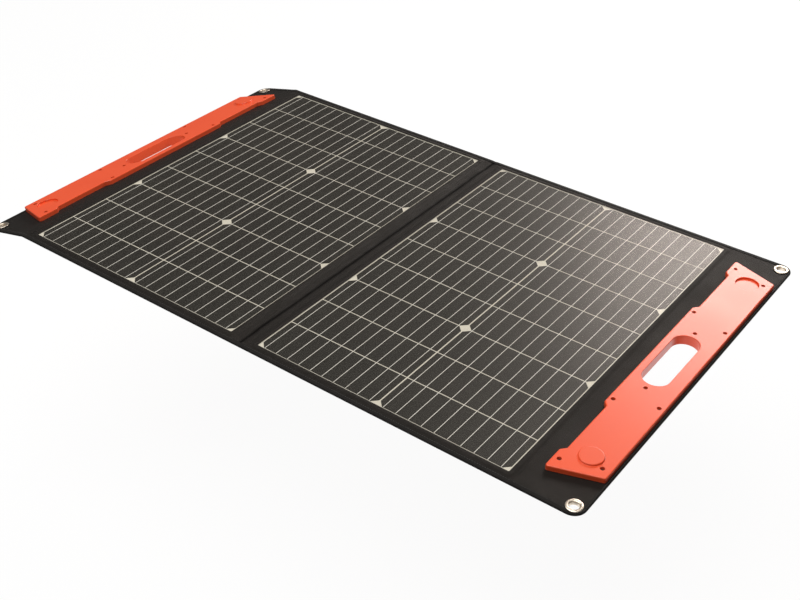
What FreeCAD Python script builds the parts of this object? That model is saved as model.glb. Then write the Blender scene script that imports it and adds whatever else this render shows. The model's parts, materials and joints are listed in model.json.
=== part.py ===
"""Folding two-panel solar suitcase, opened flat.

The origin is the middle of the fold, on the underside of the fabric mat. +X runs to the right
handle, +Y to the back edge and +Z up, out of the solar cells. Millimetres throughout.
The left half of the mat repeats the right half, turned half a turn about Z, so that the boss of
each handle meets the socket of the other when the suitcase is folded. At rest the left handle's
flap hangs down a little from its crease, as soft cloth does, and the right one lies level.
"""
import FreeCAD
import Part
import operator
import os
import Sketcher
from FreeCAD import Vector

doc = FreeCAD.newDocument("solar_suitcase")
sheet = doc.addObject("Spreadsheet::Sheet", "dims")

# ---------------------------------------------------------------- driving dimensions

SIZES = {
    # solar cells
    "cell_side": 182,
    "cell_corner": 7.5,
    "strip_gap": 1.75,
    "column_gap": 2,
    "white_border": 2,
    "ribbon_width": 0.7,
    "ribbon_pitch": 18.2,
    # plan of the mat
    "window_start": 22,
    "film_lap": 4,
    "rim_width": 4,
    "crease": 409,
    "crease_clearance": 0.2,
    "left_droop": 14,
    "mat_end": 489,
    "mat_half_width": 297,
    "mat_corner": 16.8,
    "binding_width": 6.5,
    "end_binding_width": 3.6,
    "binding_cloth": 0.5,
    "binding_fold": 0.8,
    "pressed_cloth": 0.1,
    # layers, from the underside up
    "cloth": 0.8,
    "ply_gap": 0.05,
    "board_cloth_top": 2.6,
    "substrate": 1.4,
    "backing": 0.3,
    "cell_layer": 0.3,
    "ribbon_layer": 0.15,
    "film_layer": 0.5,
    "rim_cloth": 0.5,
    # fold
    "fold_clearance": 0.4,
    # handle plates
    "handle_inner": 420,
    "handle_step": 6,
    "handle_outer": 485,
    "lug_end": 255,
    "lug_start": 222,
    "grip_end": 118,
    "step_slant": 7,
    "handle_outer_end": 233,
    "handle_corner": 3,
    "handle_edge": 1.5,
    "front_plate": 7,
    "back_plate": 4,
    "slot_centre": 448,
    "slot_length": 116,
    "slot_width": 36,
    "slot_edge": 0.6,
    "collar_wall": 2.5,
    "latch_x": 455,
    "latch_y": 212,
    "boss_radius": 15,
    "boss_height": 2.4,
    "boss_edge": 1.2,
    "socket_clearance": 0.6,
    "socket_depth": 2.6,
    "magnet_radius": 8,
    "magnet_height": 2.5,
    "magnet_fit": 0.1,
    # handle screws and inserts
    "screw_head": 2.6,
    "screw_head_height": 1.6,
    "screw_shank": 1.45,
    "screw_drive": 1.5,
    "counterbore": 2.9,
    "counterbore_depth": 4.8,
    "insert_radius": 2.4,
    "insert_length": 3.3,
    # grommets
    "grommet_inset": 14,
    "grommet_hole": 5.75,
    "grommet_barrel": 6.35,
    "grommet_flange": 10.25,
    "grommet_flange_height": 1,
    # kickstands
    "stand_half_length": 150,
    "stand_hinge": 150,
    "stand_free_end": 230,
    "stand_board": 3.2,
    "sleeve_cloth": 0.7,
    "stand_corner": 12,
    "patch": 1.15,
    "patch_half": 30,
    # junction box
    "box_start": 44,
    "box_corner": 4,
    "box_length": 76,
    "box_front": 213,
    "box_width": 64,
    "box_depth": 11,
    "box_wall": 2,
    "box_lid": 2,
    "box_post": 3.2,
    "box_post_inset": 6.5,
    "tab_y": 230,
    "tab_thickness": 0.8,
    # cable pouch, cable and plug
    "pouch_start": 150,
    "pouch_length": 200,
    "pouch_front": 182,
    "pouch_width": 98,
    "pouch_depth": 16,
    "pouch_cloth": 1.2,
    "flap_axis_drop": 1.6,
    "flap_lap": 30,
    "strip_half_length": 80,
    "strip_thickness": 0.55,
    "cable_radius": 2.3,
    "cable_drop": 5.5,
    "cable_pitch": 5.2,
    "plug_radius": 5,
    "plug_length": 26,
}

OPERATIONS = {"+": operator.add, "-": operator.sub, "*": operator.mul, "/": operator.truediv}


class Size:
    """A length: its value, and the sheet expression that gives it."""

    def __init__(self, value, text):
        self.value = value
        self.text = text

    def __add__(self, other):
        return combine(self, "+", other)

    def __radd__(self, other):
        return combine(other, "+", self)

    def __sub__(self, other):
        return combine(self, "-", other)

    def __rsub__(self, other):
        return combine(other, "-", self)

    def __mul__(self, other):
        return combine(self, "*", other)

    def __rmul__(self, other):
        return combine(other, "*", self)

    def __truediv__(self, other):
        return combine(self, "/", other)

    def __neg__(self):
        return combine(0, "-", self)


def as_size(number):
    return number if isinstance(number, Size) else Size(number, f"({number})")


def combine(left, sign, right):
    first = as_size(left)
    second = as_size(right)
    value = OPERATIONS[sign](first.value, second.value)
    return Size(value, f"({first.text} {sign} {second.text})")


def fill_sheet():
    """Writes each driving dimension into the sheet and returns it as a Size."""
    sizes = {}
    for row, (alias, number) in enumerate(SIZES.items(), start=1):
        sheet.set(f"A{row}", alias)
        sheet.set(f"B{row}", str(number))
        sheet.setAlias(f"B{row}", alias)
        sizes[alias] = Size(number, f"dims.{alias}")
    doc.recompute()
    return sizes


d = fill_sheet()

# ---------------------------------------------------------------- worked-out dimensions

gap = d["ply_gap"]
strip_pitch = d["cell_side"] / 3 + d["strip_gap"]
cell_pitch_x = d["cell_side"] + d["column_gap"]
cell_pitch_y = strip_pitch * 3
cell_span_y = cell_pitch_y - d["strip_gap"]
window_end = d["window_start"] + cell_pitch_x * 2 - d["column_gap"] + d["white_border"] * 2
window_half = (cell_pitch_y * 3 - d["strip_gap"]) / 2 + d["white_border"]
panel_mid = (d["window_start"] + window_end) / 2
film_start = d["window_start"] - d["film_lap"]
film_end = window_end + d["film_lap"]
film_half = window_half + d["film_lap"]
panel_end = d["crease"] - d["crease_clearance"]
flap_start = d["crease"] + d["crease_clearance"]
cloth_half = d["mat_half_width"] - d["binding_fold"]
cloth_end = d["mat_end"] - d["binding_fold"]

mat_top = d["board_cloth_top"]
plate_level = mat_top + gap
plate_top = plate_level + d["front_plate"]
back_plate_top = -gap
back_plate_level = back_plate_top - d["back_plate"]

# Each panel turns up about a line over the spine's edge, level with the top of the binding.
# The spine is just wide enough for the closed handles to clear each other.
fold_height = mat_top + d["binding_cloth"]
fold_line = plate_top - fold_height + d["fold_clearance"]
panel_start = fold_line + d["crease_clearance"]

board_level = d["cloth"] + gap
backing_level = board_level + d["substrate"] + gap
cell_level = backing_level + d["backing"] + gap
ribbon_level = cell_level + d["cell_layer"] + gap
film_level = ribbon_level + d["ribbon_layer"] + gap
film_top = film_level + d["film_layer"]
rim_top = film_top + gap + d["rim_cloth"]

socket_radius = d["boss_radius"] + d["socket_clearance"]
slot_radius = d["slot_width"] / 2
recess = d["handle_inner"] + d["handle_step"]

stand_axis_drop = d["patch"] + gap * 2
sleeve_top = -(stand_axis_drop + d["patch"] + gap * 2)
sleeve_level = sleeve_top - d["stand_board"] - d["sleeve_cloth"] * 2 - gap * 2
stand_start = panel_mid - d["stand_half_length"]
stand_end = panel_mid + d["stand_half_length"]

SIDES = {"right": 1, "left": -1}
SCREWS = [(428, 236), (474, 221), (426.5, 109), (447.5, 67.5), (477.5, 91.5)]
TABS = (68, 96)

# ---------------------------------------------------------------- helpers

nodes = []


def node(name, feature):
    """Names a finished sub-part."""
    feature.Label = name
    nodes.append(feature)
    return feature


def flap_node(name, side, feature):
    """Names a piece of a handle flap. The left flap hangs down from its crease by a few degrees."""
    if side < 0:
        turn = f"cos({d['left_droop'].text} * 1 deg)"
        fall = f"sin({d['left_droop'].text} * 1 deg)"
        feature.Placement = FreeCAD.Placement(Vector(), FreeCAD.Rotation(Vector(0, -1, 0), 1))
        feature.setExpression("Placement.Rotation.Angle", d["left_droop"].text)
        feature.setExpression("Placement.Base.x", f"{d['crease'].text} * ({turn} - 1)")
        feature.setExpression("Placement.Base.z", f"{d['crease'].text} * {fall}")
    return node(name, feature)


def bind(feature, path, size):
    feature.setExpression(path, as_size(size).text)


def turned(side, low, high):
    """An X range on the right half, or the same range turned over to the left half."""
    return (low, high) if side > 0 else (-high, -low)


def block(name, x_range, y_range, z_range):
    """An upright block between three pairs of sizes."""
    solid = doc.addObject("Part::Box", name)
    sides = zip("xyz", ("Length", "Width", "Height"), (x_range, y_range, z_range))
    for axis, side_name, (low, high) in sides:
        bind(solid, f"Placement.Base.{axis}", low)
        bind(solid, side_name, as_size(high) - low)
    return solid


def disc(name, x, y, z_range, radius, lying=False):
    """An upright cylinder, or one that lies along X when lying is true."""
    solid = doc.addObject("Part::Cylinder", name)
    if lying:
        solid.Placement = FreeCAD.Placement(Vector(), FreeCAD.Rotation(Vector(0, 1, 0), 90))
        z_level = z_range
        x_low, x_high = x
        bind(solid, "Height", as_size(x_high) - x_low)
    else:
        z_level, z_high = z_range
        x_low = x
        bind(solid, "Height", as_size(z_high) - z_level)
    bind(solid, "Placement.Base.x", x_low)
    bind(solid, "Placement.Base.y", y)
    bind(solid, "Placement.Base.z", z_level)
    bind(solid, "Radius", radius)
    return solid


def group(name, features):
    """Separate solids kept together as one sub-part, such as a set of screws."""
    compound = doc.addObject("Part::Compound", name)
    compound.Links = features
    return compound


def join(name, features):
    fused = doc.addObject("Part::MultiFuse", name)
    fused.Shapes = features
    return fused


def cut(name, base, tools):
    result = doc.addObject("Part::Cut", name)
    result.Base = base
    result.Tool = tools[0] if len(tools) == 1 else group(name + "_tools", tools)
    return result


def softened(name, kind, base, edges, size):
    """Chamfers or fillets numbered edges of a primitive by one size."""
    doc.recompute()
    result = doc.addObject(kind, name)
    result.Base = base
    result.Edges = [(edge, size, size) for edge in edges]
    return result


def standing_edges(shape):
    """Numbers of the upright edges of a block."""
    boxes = [edge.BoundBox for edge in shape.Edges]
    return [i for i, box in enumerate(boxes, start=1)
            if box.ZLength > 0.1 and box.XLength + box.YLength < 0.01]


def rounded_block(name, x_range, y_range, z_range, radius):
    """A block whose four upright edges are rounded."""
    sharp = block(f"{name}_blank", x_range, y_range, z_range)
    doc.recompute()
    return softened(name, "Part::Fillet", sharp, standing_edges(sharp.Shape), radius.value)


def stadium(name, x, radius, half_length, z_range):
    """A rounded slot that runs along Y, centred on y = 0."""
    straight = half_length - radius
    return join(name, [
        block(name + "_middle", (x - radius, x + radius), (-straight, straight), z_range),
        disc(name + "_front", x, -straight, z_range, radius),
        disc(name + "_back", x, straight, z_range, radius),
    ])


def xy_plane(body):
    return next(f for f in body.Origin.OriginFeatures if f.Role == "XY_Plane")


def outline(body, name, points, level):
    """A closed straight-sided sketch whose every corner is held by two sheet-driven distances."""
    sketch = body.newObject("Sketcher::SketchObject", name)
    sketch.AttachmentSupport = (xy_plane(body), [""])
    sketch.MapMode = "FlatFace"
    bind(sketch, "AttachmentOffset.Base.z", level)
    corners = [(as_size(x), as_size(y)) for x, y in points]
    places = [Vector(x.value, y.value, 0) for x, y in corners]
    count = len(places)
    for i in range(count):
        sketch.addGeometry(Part.LineSegment(places[i], places[(i + 1) % count]))
    for i in range(count):
        sketch.addConstraint(Sketcher.Constraint("Coincident", i, 2, (i + 1) % count, 1))
    for i, corner in enumerate(corners):
        for kind, axis_size in zip(("DistanceX", "DistanceY"), corner):
            index = sketch.addConstraint(Sketcher.Constraint(kind, -1, 1, i, 1, axis_size.value))
            sketch.renameConstraint(index, f"{kind.lower()}_{i}")
            bind(sketch, f"Constraints.{kind.lower()}_{i}", axis_size)
    return sketch


def pad(body, name, points, level, height):
    feature = body.newObject("PartDesign::Pad", name)
    feature.Profile = outline(body, name + "_outline", points, level)
    bind(feature, "Length", height)
    doc.recompute()
    return feature


def pocket(body, name, points, top, depth):
    """Cuts straight down from the level of its outline."""
    before = body.Shape.Volume
    feature = body.newObject("PartDesign::Pocket", name)
    feature.Profile = outline(body, name + "_outline", points, top)
    bind(feature, "Length", depth)
    doc.recompute()
    if body.Shape.Volume >= before:
        raise RuntimeError(f"{name} cuts nothing")
    return feature


def rounded(body, name, base, edges, radius):
    """Rounds the numbered edges of the feature called base."""
    feature = body.newObject("PartDesign::Fillet", name)
    feature.Base = (base, [f"Edge{i}" for i in edges])
    bind(feature, "Radius", radius)
    doc.recompute()
    return feature


def upright_edges(shape, x, y):
    """Numbers of the edges that stand upright at one of the four corners (x, y) mirrored in y."""
    found = []
    for i, edge in enumerate(shape.Edges, start=1):
        low, high = edge.BoundBox.ZMin, edge.BoundBox.ZMax
        centre = edge.CenterOfMass
        here = abs(centre.x - x) < 0.01 and abs(abs(centre.y) - y) < 0.01
        if here and high - low > 0.1 and edge.BoundBox.DiagonalLength - (high - low) < 0.01:
            found.append(i)
    return found


def level_edges(shape, z):
    """Numbers of the edges that lie wholly in the plane at height z."""
    inside = lambda box: abs(box.ZMin - z) < 1e-4 and abs(box.ZMax - z) < 1e-4
    return [i for i, edge in enumerate(shape.Edges, start=1) if inside(edge.BoundBox)]


def rim_edges(shape, z, centre, half_x, half_y):
    """Numbers of the level edges at height z that lie round one opening, on either half."""
    found = []
    for i in level_edges(shape, z):
        box = shape.Edges[i - 1].BoundBox
        x_reach = max(abs(abs(x) - centre[0]) for x in (box.XMin, box.XMax))
        y_reach = max(abs(abs(y) - centre[1]) for y in (box.YMin, box.YMax))
        if x_reach < half_x + 0.1 and y_reach < half_y + 0.1:
            found.append(i)
    return found


def rectangle(x_range, y_range):
    (left, right), (front, back) = x_range, y_range
    return [(left, front), (right, front), (right, back), (left, back)]


# ---------------------------------------------------------------- fabric of the mat

def tab_slots(name, z_range):
    """The slots that the junction box's tabs pass through."""
    half_length, half_width = 4.5, 1.3
    return [
        block(f"{name}_tab_slot_{i}", (x - half_length, x + half_length),
              (d["tab_y"] - half_width, d["tab_y"] + half_width), z_range)
        for i, x in enumerate(TABS)
    ]


def make_back_cover(name, side):
    sheet_range = (-1, d["cloth"] + 1)
    whole = block(f"{name}_cloth", turned(side, panel_start, panel_end),
                  (-cloth_half, cloth_half), (0, d["cloth"]))
    if side < 0:
        return node(f"{name}_back_cover", whole)
    return node(f"{name}_back_cover",
                cut(f"{name}_back_cover_cut", whole, tab_slots(f"{name}_back", sheet_range)))


def make_front_cover(name, side):
    """Padded margin with a raised rim that laps over the edge of the film."""
    body = doc.addObject("PartDesign::Body", f"{name}_front_cover_body")
    rim = d["film_lap"] + d["rim_width"]
    margin = rectangle(turned(side, panel_start, panel_end), (-cloth_half, cloth_half))
    rim_outline = rectangle(turned(side, d["window_start"] - rim, window_end + rim),
                            (-window_half - rim, window_half + rim))
    laminate = rectangle(turned(side, film_start - gap * 2, film_end + gap * 2),
                         (-film_half - gap * 2, film_half + gap * 2))
    window = rectangle(turned(side, d["window_start"], window_end), (-window_half, window_half))
    pad(body, f"{name}_margin", margin, board_level, mat_top - board_level)
    pad(body, f"{name}_rim", rim_outline, board_level, rim_top - board_level)
    pocket(body, f"{name}_laminate_recess", laminate, film_top + gap, film_top + gap - board_level)
    pocket(body, f"{name}_window", window, rim_top + 1, d["rim_cloth"] + 2)
    return node(f"{name}_front_cover", body)


def binding_strip(name, x_range, back):
    """A straight length of binding along the front or back edge, folded over the cloth."""
    inner = d["mat_half_width"] - d["binding_width"]
    y_range = turned(back, inner, d["mat_half_width"])
    slot_range = turned(back, inner - 1, cloth_half + gap)
    over = d["binding_cloth"]
    tape = block(f"{name}_tape", x_range, y_range, (-over, mat_top + over))
    x_cut = (x_range[0] - 1, x_range[1] + 1)
    return cut(f"{name}_strip", tape,
               [block(f"{name}_fold", x_cut, slot_range, (-gap, mat_top + gap))])


def make_edge_binding(name, x_range):
    """Binding along the front and back edges of one body of the mat."""
    strips = [binding_strip(f"{name}_{end}", x_range, back)
              for end, back in (("front", -1), ("back", 1))]
    return node(f"{name}_edge_binding", group(f"{name}_binding_group", strips))


def flap_outline(body, name, side, end, half_width, level, height, corner):
    """A flap-shaped plate with its two outer corners rounded."""
    points = rectangle(turned(side, flap_start, end), (-half_width, half_width))
    plate = pad(body, name, points, level, height)
    edges = upright_edges(plate.Shape, side * as_size(end).value, half_width.value)
    return rounded(body, f"{name}_corners", plate, edges, corner)


def screw_places(side):
    """The ten screw places of one handle."""
    return [(side * x, y * up) for x, y in SCREWS for up in (-1, 1)]


def grommet_places(side):
    x = side * (d["mat_end"] - d["grommet_inset"])
    y = d["mat_half_width"] - d["grommet_inset"]
    return [(x, -y), (x, y)]


def make_flap_cloth(name, side, layer, z_range):
    """One layer of the handle flap, cut out for the slot's collar, the screws and the grommets."""
    low, high = z_range
    body = doc.addObject("PartDesign::Body", f"{name}_{layer}_body")
    flap_outline(body, f"{name}_{layer}_plate", side, cloth_end, cloth_half, low, high - low,
                 d["mat_corner"] - d["binding_fold"])
    through = (as_size(low) - 1, as_size(high) + 1)
    collar = d["collar_wall"] + gap * 2
    tools = [stadium(f"{name}_{layer}_slot", side * d["slot_centre"], slot_radius + collar,
                     d["slot_length"] / 2 + collar, through)]
    tools += [disc(f"{name}_{layer}_screw_hole_{i}", x, y, through, d["screw_shank"] + 0.35)
              for i, (x, y) in enumerate(screw_places(side))]
    tools += [disc(f"{name}_{layer}_grommet_hole_{i}", x, y, through, d["grommet_barrel"] + 0.1)
              for i, (x, y) in enumerate(grommet_places(side))]
    return flap_node(f"{name}_{layer}", side, cut(f"{name}_{layer}_cut", body, tools))


def make_flap_binding(name, side):
    """Binding round the three free edges of the handle flap."""
    over = d["binding_cloth"]
    width = d["binding_width"]
    outer = doc.addObject("PartDesign::Body", f"{name}_flap_binding_outer")
    flap_outline(outer, f"{name}_tape", side, d["mat_end"], d["mat_half_width"], -over,
                 mat_top + over * 2, d["mat_corner"])
    fold = doc.addObject("PartDesign::Body", f"{name}_flap_binding_fold")
    flap_outline(fold, f"{name}_fold_space", side, cloth_end + gap, cloth_half + gap, -gap,
                 mat_top + gap * 2, d["mat_corner"] - d["binding_fold"] + gap)
    middle = doc.addObject("PartDesign::Body", f"{name}_flap_binding_middle")
    flap_outline(middle, f"{name}_open_middle", side, d["mat_end"] - d["end_binding_width"],
                 d["mat_half_width"] - width, -over * 2, mat_top + over * 4,
                 d["mat_corner"] - width)
    return flap_node(f"{name}_flap_binding", side,
                     cut(f"{name}_flap_binding_cut", outer, [fold, middle]))


# ---------------------------------------------------------------- laminate

def make_laminate(name, side):
    """Stiff board, white backing sheet and clear film, each a flat rectangle."""
    x_range = turned(side, film_start, film_end)
    y_range = (-film_half, film_half)
    board = block(f"{name}_board", x_range, y_range, (board_level, board_level + d["substrate"]))
    if side > 0:
        board = cut(f"{name}_board_cut", board, tab_slots(f"{name}_board", (0, backing_level)))
    node(f"{name}_substrate_board", board)
    node(f"{name}_backing_sheet", block(f"{name}_backing", x_range, y_range,
                                        (backing_level, backing_level + d["backing"])))
    node(f"{name}_front_film", block(f"{name}_film", x_range, y_range, (film_level, film_top)))


def cell_places(side):
    """Centres of the six cells of a panel."""
    return [(side * (panel_mid + cell_pitch_x * (column - 0.5)), cell_pitch_y * row)
            for column in (0, 1) for row in (-1, 0, 1)]


def make_cells(name, side):
    """Six corner-cut cells, each sliced along X into three strips."""
    z_range = (cell_level, cell_level + d["cell_layer"])
    half_x, half_y = d["cell_side"] / 2, cell_span_y / 2
    upright = (1, 3, 5, 7)
    cells = []
    for i, (x, y) in enumerate(cell_places(side)):
        square = block(f"{name}_cell_{i}", (x - half_x, x + half_x), (y - half_y, y + half_y), z_range)
        corners = softened(f"{name}_cell_corners_{i}", "Part::Chamfer", square, upright,
                           d["cell_corner"].value)
        slits = [block(f"{name}_slit_{i}_{k}", (x - half_x - 1, x + half_x + 1),
                       (y + strip_pitch * (k - 0.5) - d["strip_gap"] / 2,
                        y + strip_pitch * (k - 0.5) + d["strip_gap"] / 2),
                       (cell_level - 1, cell_level + 1)) for k in (0, 1)]
        cells.append(cut(f"{name}_cell_strips_{i}", corners, slits))
    return node(f"{name}_solar_cells", group(f"{name}_cells", cells))


def make_ribbons(name, side):
    """Ten tinned ribbons along each column of cells."""
    z_range = (ribbon_level, ribbon_level + d["ribbon_layer"])
    half_length = window_half - d["white_border"]
    half_width = d["ribbon_width"] / 2
    ribbons = []
    for column in (0, 1):
        middle = side * (panel_mid + cell_pitch_x * (column - 0.5))
        for k in range(10):
            x = middle + d["ribbon_pitch"] * (k - 4.5)
            ribbons.append(block(f"{name}_ribbon_{column}_{k}", (x - half_width, x + half_width),
                                 (-half_length, half_length), z_range))
    return node(f"{name}_cell_ribbons", group(f"{name}_ribbons", ribbons))


# ---------------------------------------------------------------- handles

def handle_points(side):
    """Outline of a handle plate: lugs at the ends, a shallow step, and the grip in the middle."""
    step_end = d["lug_start"] - d["step_slant"]
    step_start = d["grip_end"] + d["step_slant"]
    back_half = [
        (d["handle_outer"], d["handle_outer_end"]),
        (d["handle_inner"], d["lug_end"]),
        (d["handle_inner"], d["lug_start"]),
        (recess, step_end),
        (recess, step_start),
        (d["handle_inner"], d["grip_end"]),
    ]
    front_half = [(x, -y) for x, y in reversed(back_half)]
    return [(side * x, side * y) for x, y in back_half + front_half]


def handle_plate(name, side, level, height, rounded_level):
    """A handle plate with rounded corners, and one face's outer edge rounded."""
    body = doc.addObject("PartDesign::Body", f"{name}_body")
    plate = pad(body, f"{name}_plate", handle_points(side), level, height)
    shape = plate.Shape
    corners = upright_edges(shape, side * d["handle_outer"].value, d["handle_outer_end"].value)
    corners += upright_edges(shape, side * d["handle_inner"].value, d["lug_end"].value)
    soft = rounded(body, f"{name}_corners", plate, corners, d["handle_corner"])
    rounded(body, f"{name}_edge", soft, level_edges(soft.Shape, rounded_level.value), d["handle_edge"])
    return body


def make_front_plate(name, side):
    """Front plate: grip slot with its collar, latch boss, latch socket and counterbored holes."""
    body = handle_plate(f"{name}_front", side, plate_level, d["front_plate"], plate_top)
    x = side * d["slot_centre"]
    half_length = d["slot_length"] / 2
    wall = d["collar_wall"]
    collar = stadium(f"{name}_collar", x, slot_radius + wall, half_length + wall,
                     (0, plate_level + 1))
    latch_x = side * d["latch_x"]
    boss_y = -side * d["latch_y"]
    boss = disc(f"{name}_boss", latch_x, boss_y, (plate_top - 1, plate_top + d["boss_height"]),
                d["boss_radius"])
    boss_soft = softened(f"{name}_boss_edge", "Part::Fillet", boss, [3],
                         d["boss_edge"].value)
    solid = join(f"{name}_front_solid", [body, collar, boss_soft])
    drop = plate_top - d["counterbore_depth"]
    pocket_radius = d["magnet_radius"] + d["magnet_fit"]
    socket_floor = plate_top - d["socket_depth"]
    tools = [
        stadium(f"{name}_grip_slot", x, slot_radius, half_length, (-1, plate_top + 1)),
        disc(f"{name}_socket", latch_x, -boss_y, (socket_floor, plate_top + 1), socket_radius),
        disc(f"{name}_socket_pocket", latch_x, -boss_y,
             (plate_level - 1, plate_level + d["magnet_height"] + gap * 2), pocket_radius),
        disc(f"{name}_boss_pocket", latch_x, boss_y,
             (plate_level - 1, plate_top + gap), pocket_radius),
    ]
    for i, (sx, sy) in enumerate(screw_places(side)):
        tools.append(disc(f"{name}_counterbore_{i}", sx, sy, (drop, plate_top + 1), d["counterbore"]))
        tools.append(disc(f"{name}_screw_way_{i}", sx, sy, (0, plate_top), d["screw_shank"] + 0.15))
    plate = cut(f"{name}_front_cut", solid, tools)
    doc.recompute()
    top = plate_top.value
    rims = rim_edges(plate.Shape, top, (d["slot_centre"].value, 0), slot_radius.value,
                     half_length.value)
    rims += rim_edges(plate.Shape, top, (d["latch_x"].value, d["latch_y"].value),
                      socket_radius.value, socket_radius.value)
    return flap_node(f"{name}_handle_front_plate", side,
                     softened(f"{name}_front_rims", "Part::Fillet", plate, rims, d["slot_edge"].value))


def make_back_plate(name, side):
    """Back plate: the grip slot and ten blind holes for the threaded inserts."""
    body = handle_plate(f"{name}_back", side, back_plate_level, d["back_plate"], back_plate_level)
    tools = [stadium(f"{name}_back_slot", side * d["slot_centre"], slot_radius,
                     d["slot_length"] / 2, (back_plate_level - 1, 1))]
    tools += [disc(f"{name}_insert_hole_{i}", x, y,
                   (back_plate_top - d["insert_length"] - 0.3, 1), d["insert_radius"] + gap)
              for i, (x, y) in enumerate(screw_places(side))]
    return flap_node(f"{name}_handle_back_plate", side, cut(f"{name}_back_plate_cut", body, tools))


def make_screws(name, side):
    """Ten hexagon-socket screws with flat heads."""
    seat = plate_top - d["counterbore_depth"] + gap
    head_top = seat + d["screw_head_height"]
    tip = back_plate_top - d["insert_length"]
    screws = []
    for i, (x, y) in enumerate(screw_places(side)):
        head = disc(f"{name}_screw_head_{i}", x, y, (seat, head_top), d["screw_head"])
        shank = disc(f"{name}_screw_shank_{i}", x, y, (tip, seat + 1), d["screw_shank"])
        drive = doc.addObject("Part::Prism", f"{name}_screw_drive_{i}")
        drive.Polygon = 6
        bind(drive, "Circumradius", d["screw_drive"])
        bind(drive, "Height", 2)
        bind(drive, "Placement.Base.x", x)
        bind(drive, "Placement.Base.y", y)
        bind(drive, "Placement.Base.z", head_top - 1.2)
        screws.append(cut(f"{name}_screw_{i}", join(f"{name}_screw_blank_{i}", [head, shank]), [drive]))
    return flap_node(f"{name}_handle_screws", side, group(f"{name}_screws", screws))


def make_inserts(name, side):
    """Ten brass inserts pressed into the back plate."""
    top = back_plate_top - gap * 2
    floor = back_plate_top - d["insert_length"]
    inserts = []
    for i, (x, y) in enumerate(screw_places(side)):
        barrel = disc(f"{name}_insert_barrel_{i}", x, y, (floor, top), d["insert_radius"])
        thread = disc(f"{name}_insert_thread_{i}", x, y, (floor - 1, top + 1), d["screw_shank"] + gap)
        inserts.append(cut(f"{name}_insert_{i}", barrel, [thread]))
    return flap_node(f"{name}_handle_inserts", side, group(f"{name}_inserts", inserts))


def make_magnets(name, side):
    """One magnet near the face of the boss and one under the floor of the socket."""
    x = side * d["latch_x"]
    y = side * d["latch_y"]
    height = d["magnet_height"]
    low = plate_level + gap
    high = plate_top - height
    magnets = [disc(f"{name}_socket_magnet", x, y, (low, low + height), d["magnet_radius"]),
               disc(f"{name}_boss_magnet", x, -y, (high, high + height), d["magnet_radius"])]
    return flap_node(f"{name}_latch_magnets", side, group(f"{name}_magnets", magnets))


def make_grommets(name, side):
    """Two grommets with rolled barrels, each with the washer that it is crimped over."""
    over = d["binding_cloth"] + gap
    thick = d["grommet_flange_height"]
    top = mat_top + over
    below = -over
    roll = below - thick - gap
    solids = []
    for i, (x, y) in enumerate(grommet_places(side)):
        parts = [
            disc(f"{name}_flange_{i}", x, y, (top, top + thick), d["grommet_flange"]),
            disc(f"{name}_barrel_{i}", x, y, (roll, top + thick), d["grommet_barrel"]),
            disc(f"{name}_roll_{i}", x, y, (roll - 0.6, roll), d["grommet_barrel"] + 1.4),
        ]
        bore = disc(f"{name}_bore_{i}", x, y, (roll - 2, top + thick + 1), d["grommet_hole"])
        solids.append(cut(f"{name}_grommet_{i}", join(f"{name}_grommet_blank_{i}", parts), [bore]))
        ring = disc(f"{name}_ring_{i}", x, y, (below - thick, below), d["grommet_flange"])
        hole = disc(f"{name}_ring_hole_{i}", x, y, (below - thick - 1, below + 1),
                    d["grommet_barrel"] + 0.1)
        solids.append(cut(f"{name}_washer_{i}", ring, [hole]))
    return flap_node(f"{name}_grommets", side, group(f"{name}_grommet_pair", solids))


# ---------------------------------------------------------------- kickstands

def stand_range(side, margin=0):
    return turned(side, stand_start + margin, stand_end - margin)


def make_kickstand(name, side):
    """A board in a sewn sleeve, hung from a hinge line, with its hook-and-loop patch and strap."""
    cloth = d["sleeve_cloth"]
    front, back = -d["stand_free_end"], d["stand_hinge"] - 1
    inner = cloth + gap
    corner = d["stand_corner"]
    sleeve = cut(f"{name}_sleeve",
                 rounded_block(f"{name}_sleeve_outer", stand_range(side), (front, back),
                               (sleeve_level, sleeve_top), corner),
                 [rounded_block(f"{name}_sleeve_inner", stand_range(side, cloth),
                                (front + cloth, back - cloth),
                                (sleeve_level + cloth, sleeve_top - cloth), corner - cloth)])
    node(f"{name}_kickstand_sleeve", sleeve)
    node(f"{name}_kickstand_board",
         rounded_block(f"{name}_stand_board", stand_range(side, inner), (front + inner, back - inner),
                       (sleeve_level + inner, sleeve_top - inner), corner - inner))
    middle = side * panel_mid
    half = d["patch_half"]
    patch_y = (front + 15, front + 45)
    patch_x = (middle - half, middle + half)
    node(f"{name}_hook_patch", block(f"{name}_hooks", patch_x, patch_y, (-gap - d["patch"], -gap)))
    loop_top = -stand_axis_drop
    node(f"{name}_loop_patch", block(f"{name}_loops", patch_x, patch_y,
                                     (loop_top - d["patch"], loop_top - gap)))
    node(f"{name}_stay_strap", block(f"{name}_strap", turned(side, stand_end + 1.5, stand_end + 15),
                                     (-60, -40), (-4, -gap)))


# ---------------------------------------------------------------- spine

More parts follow.
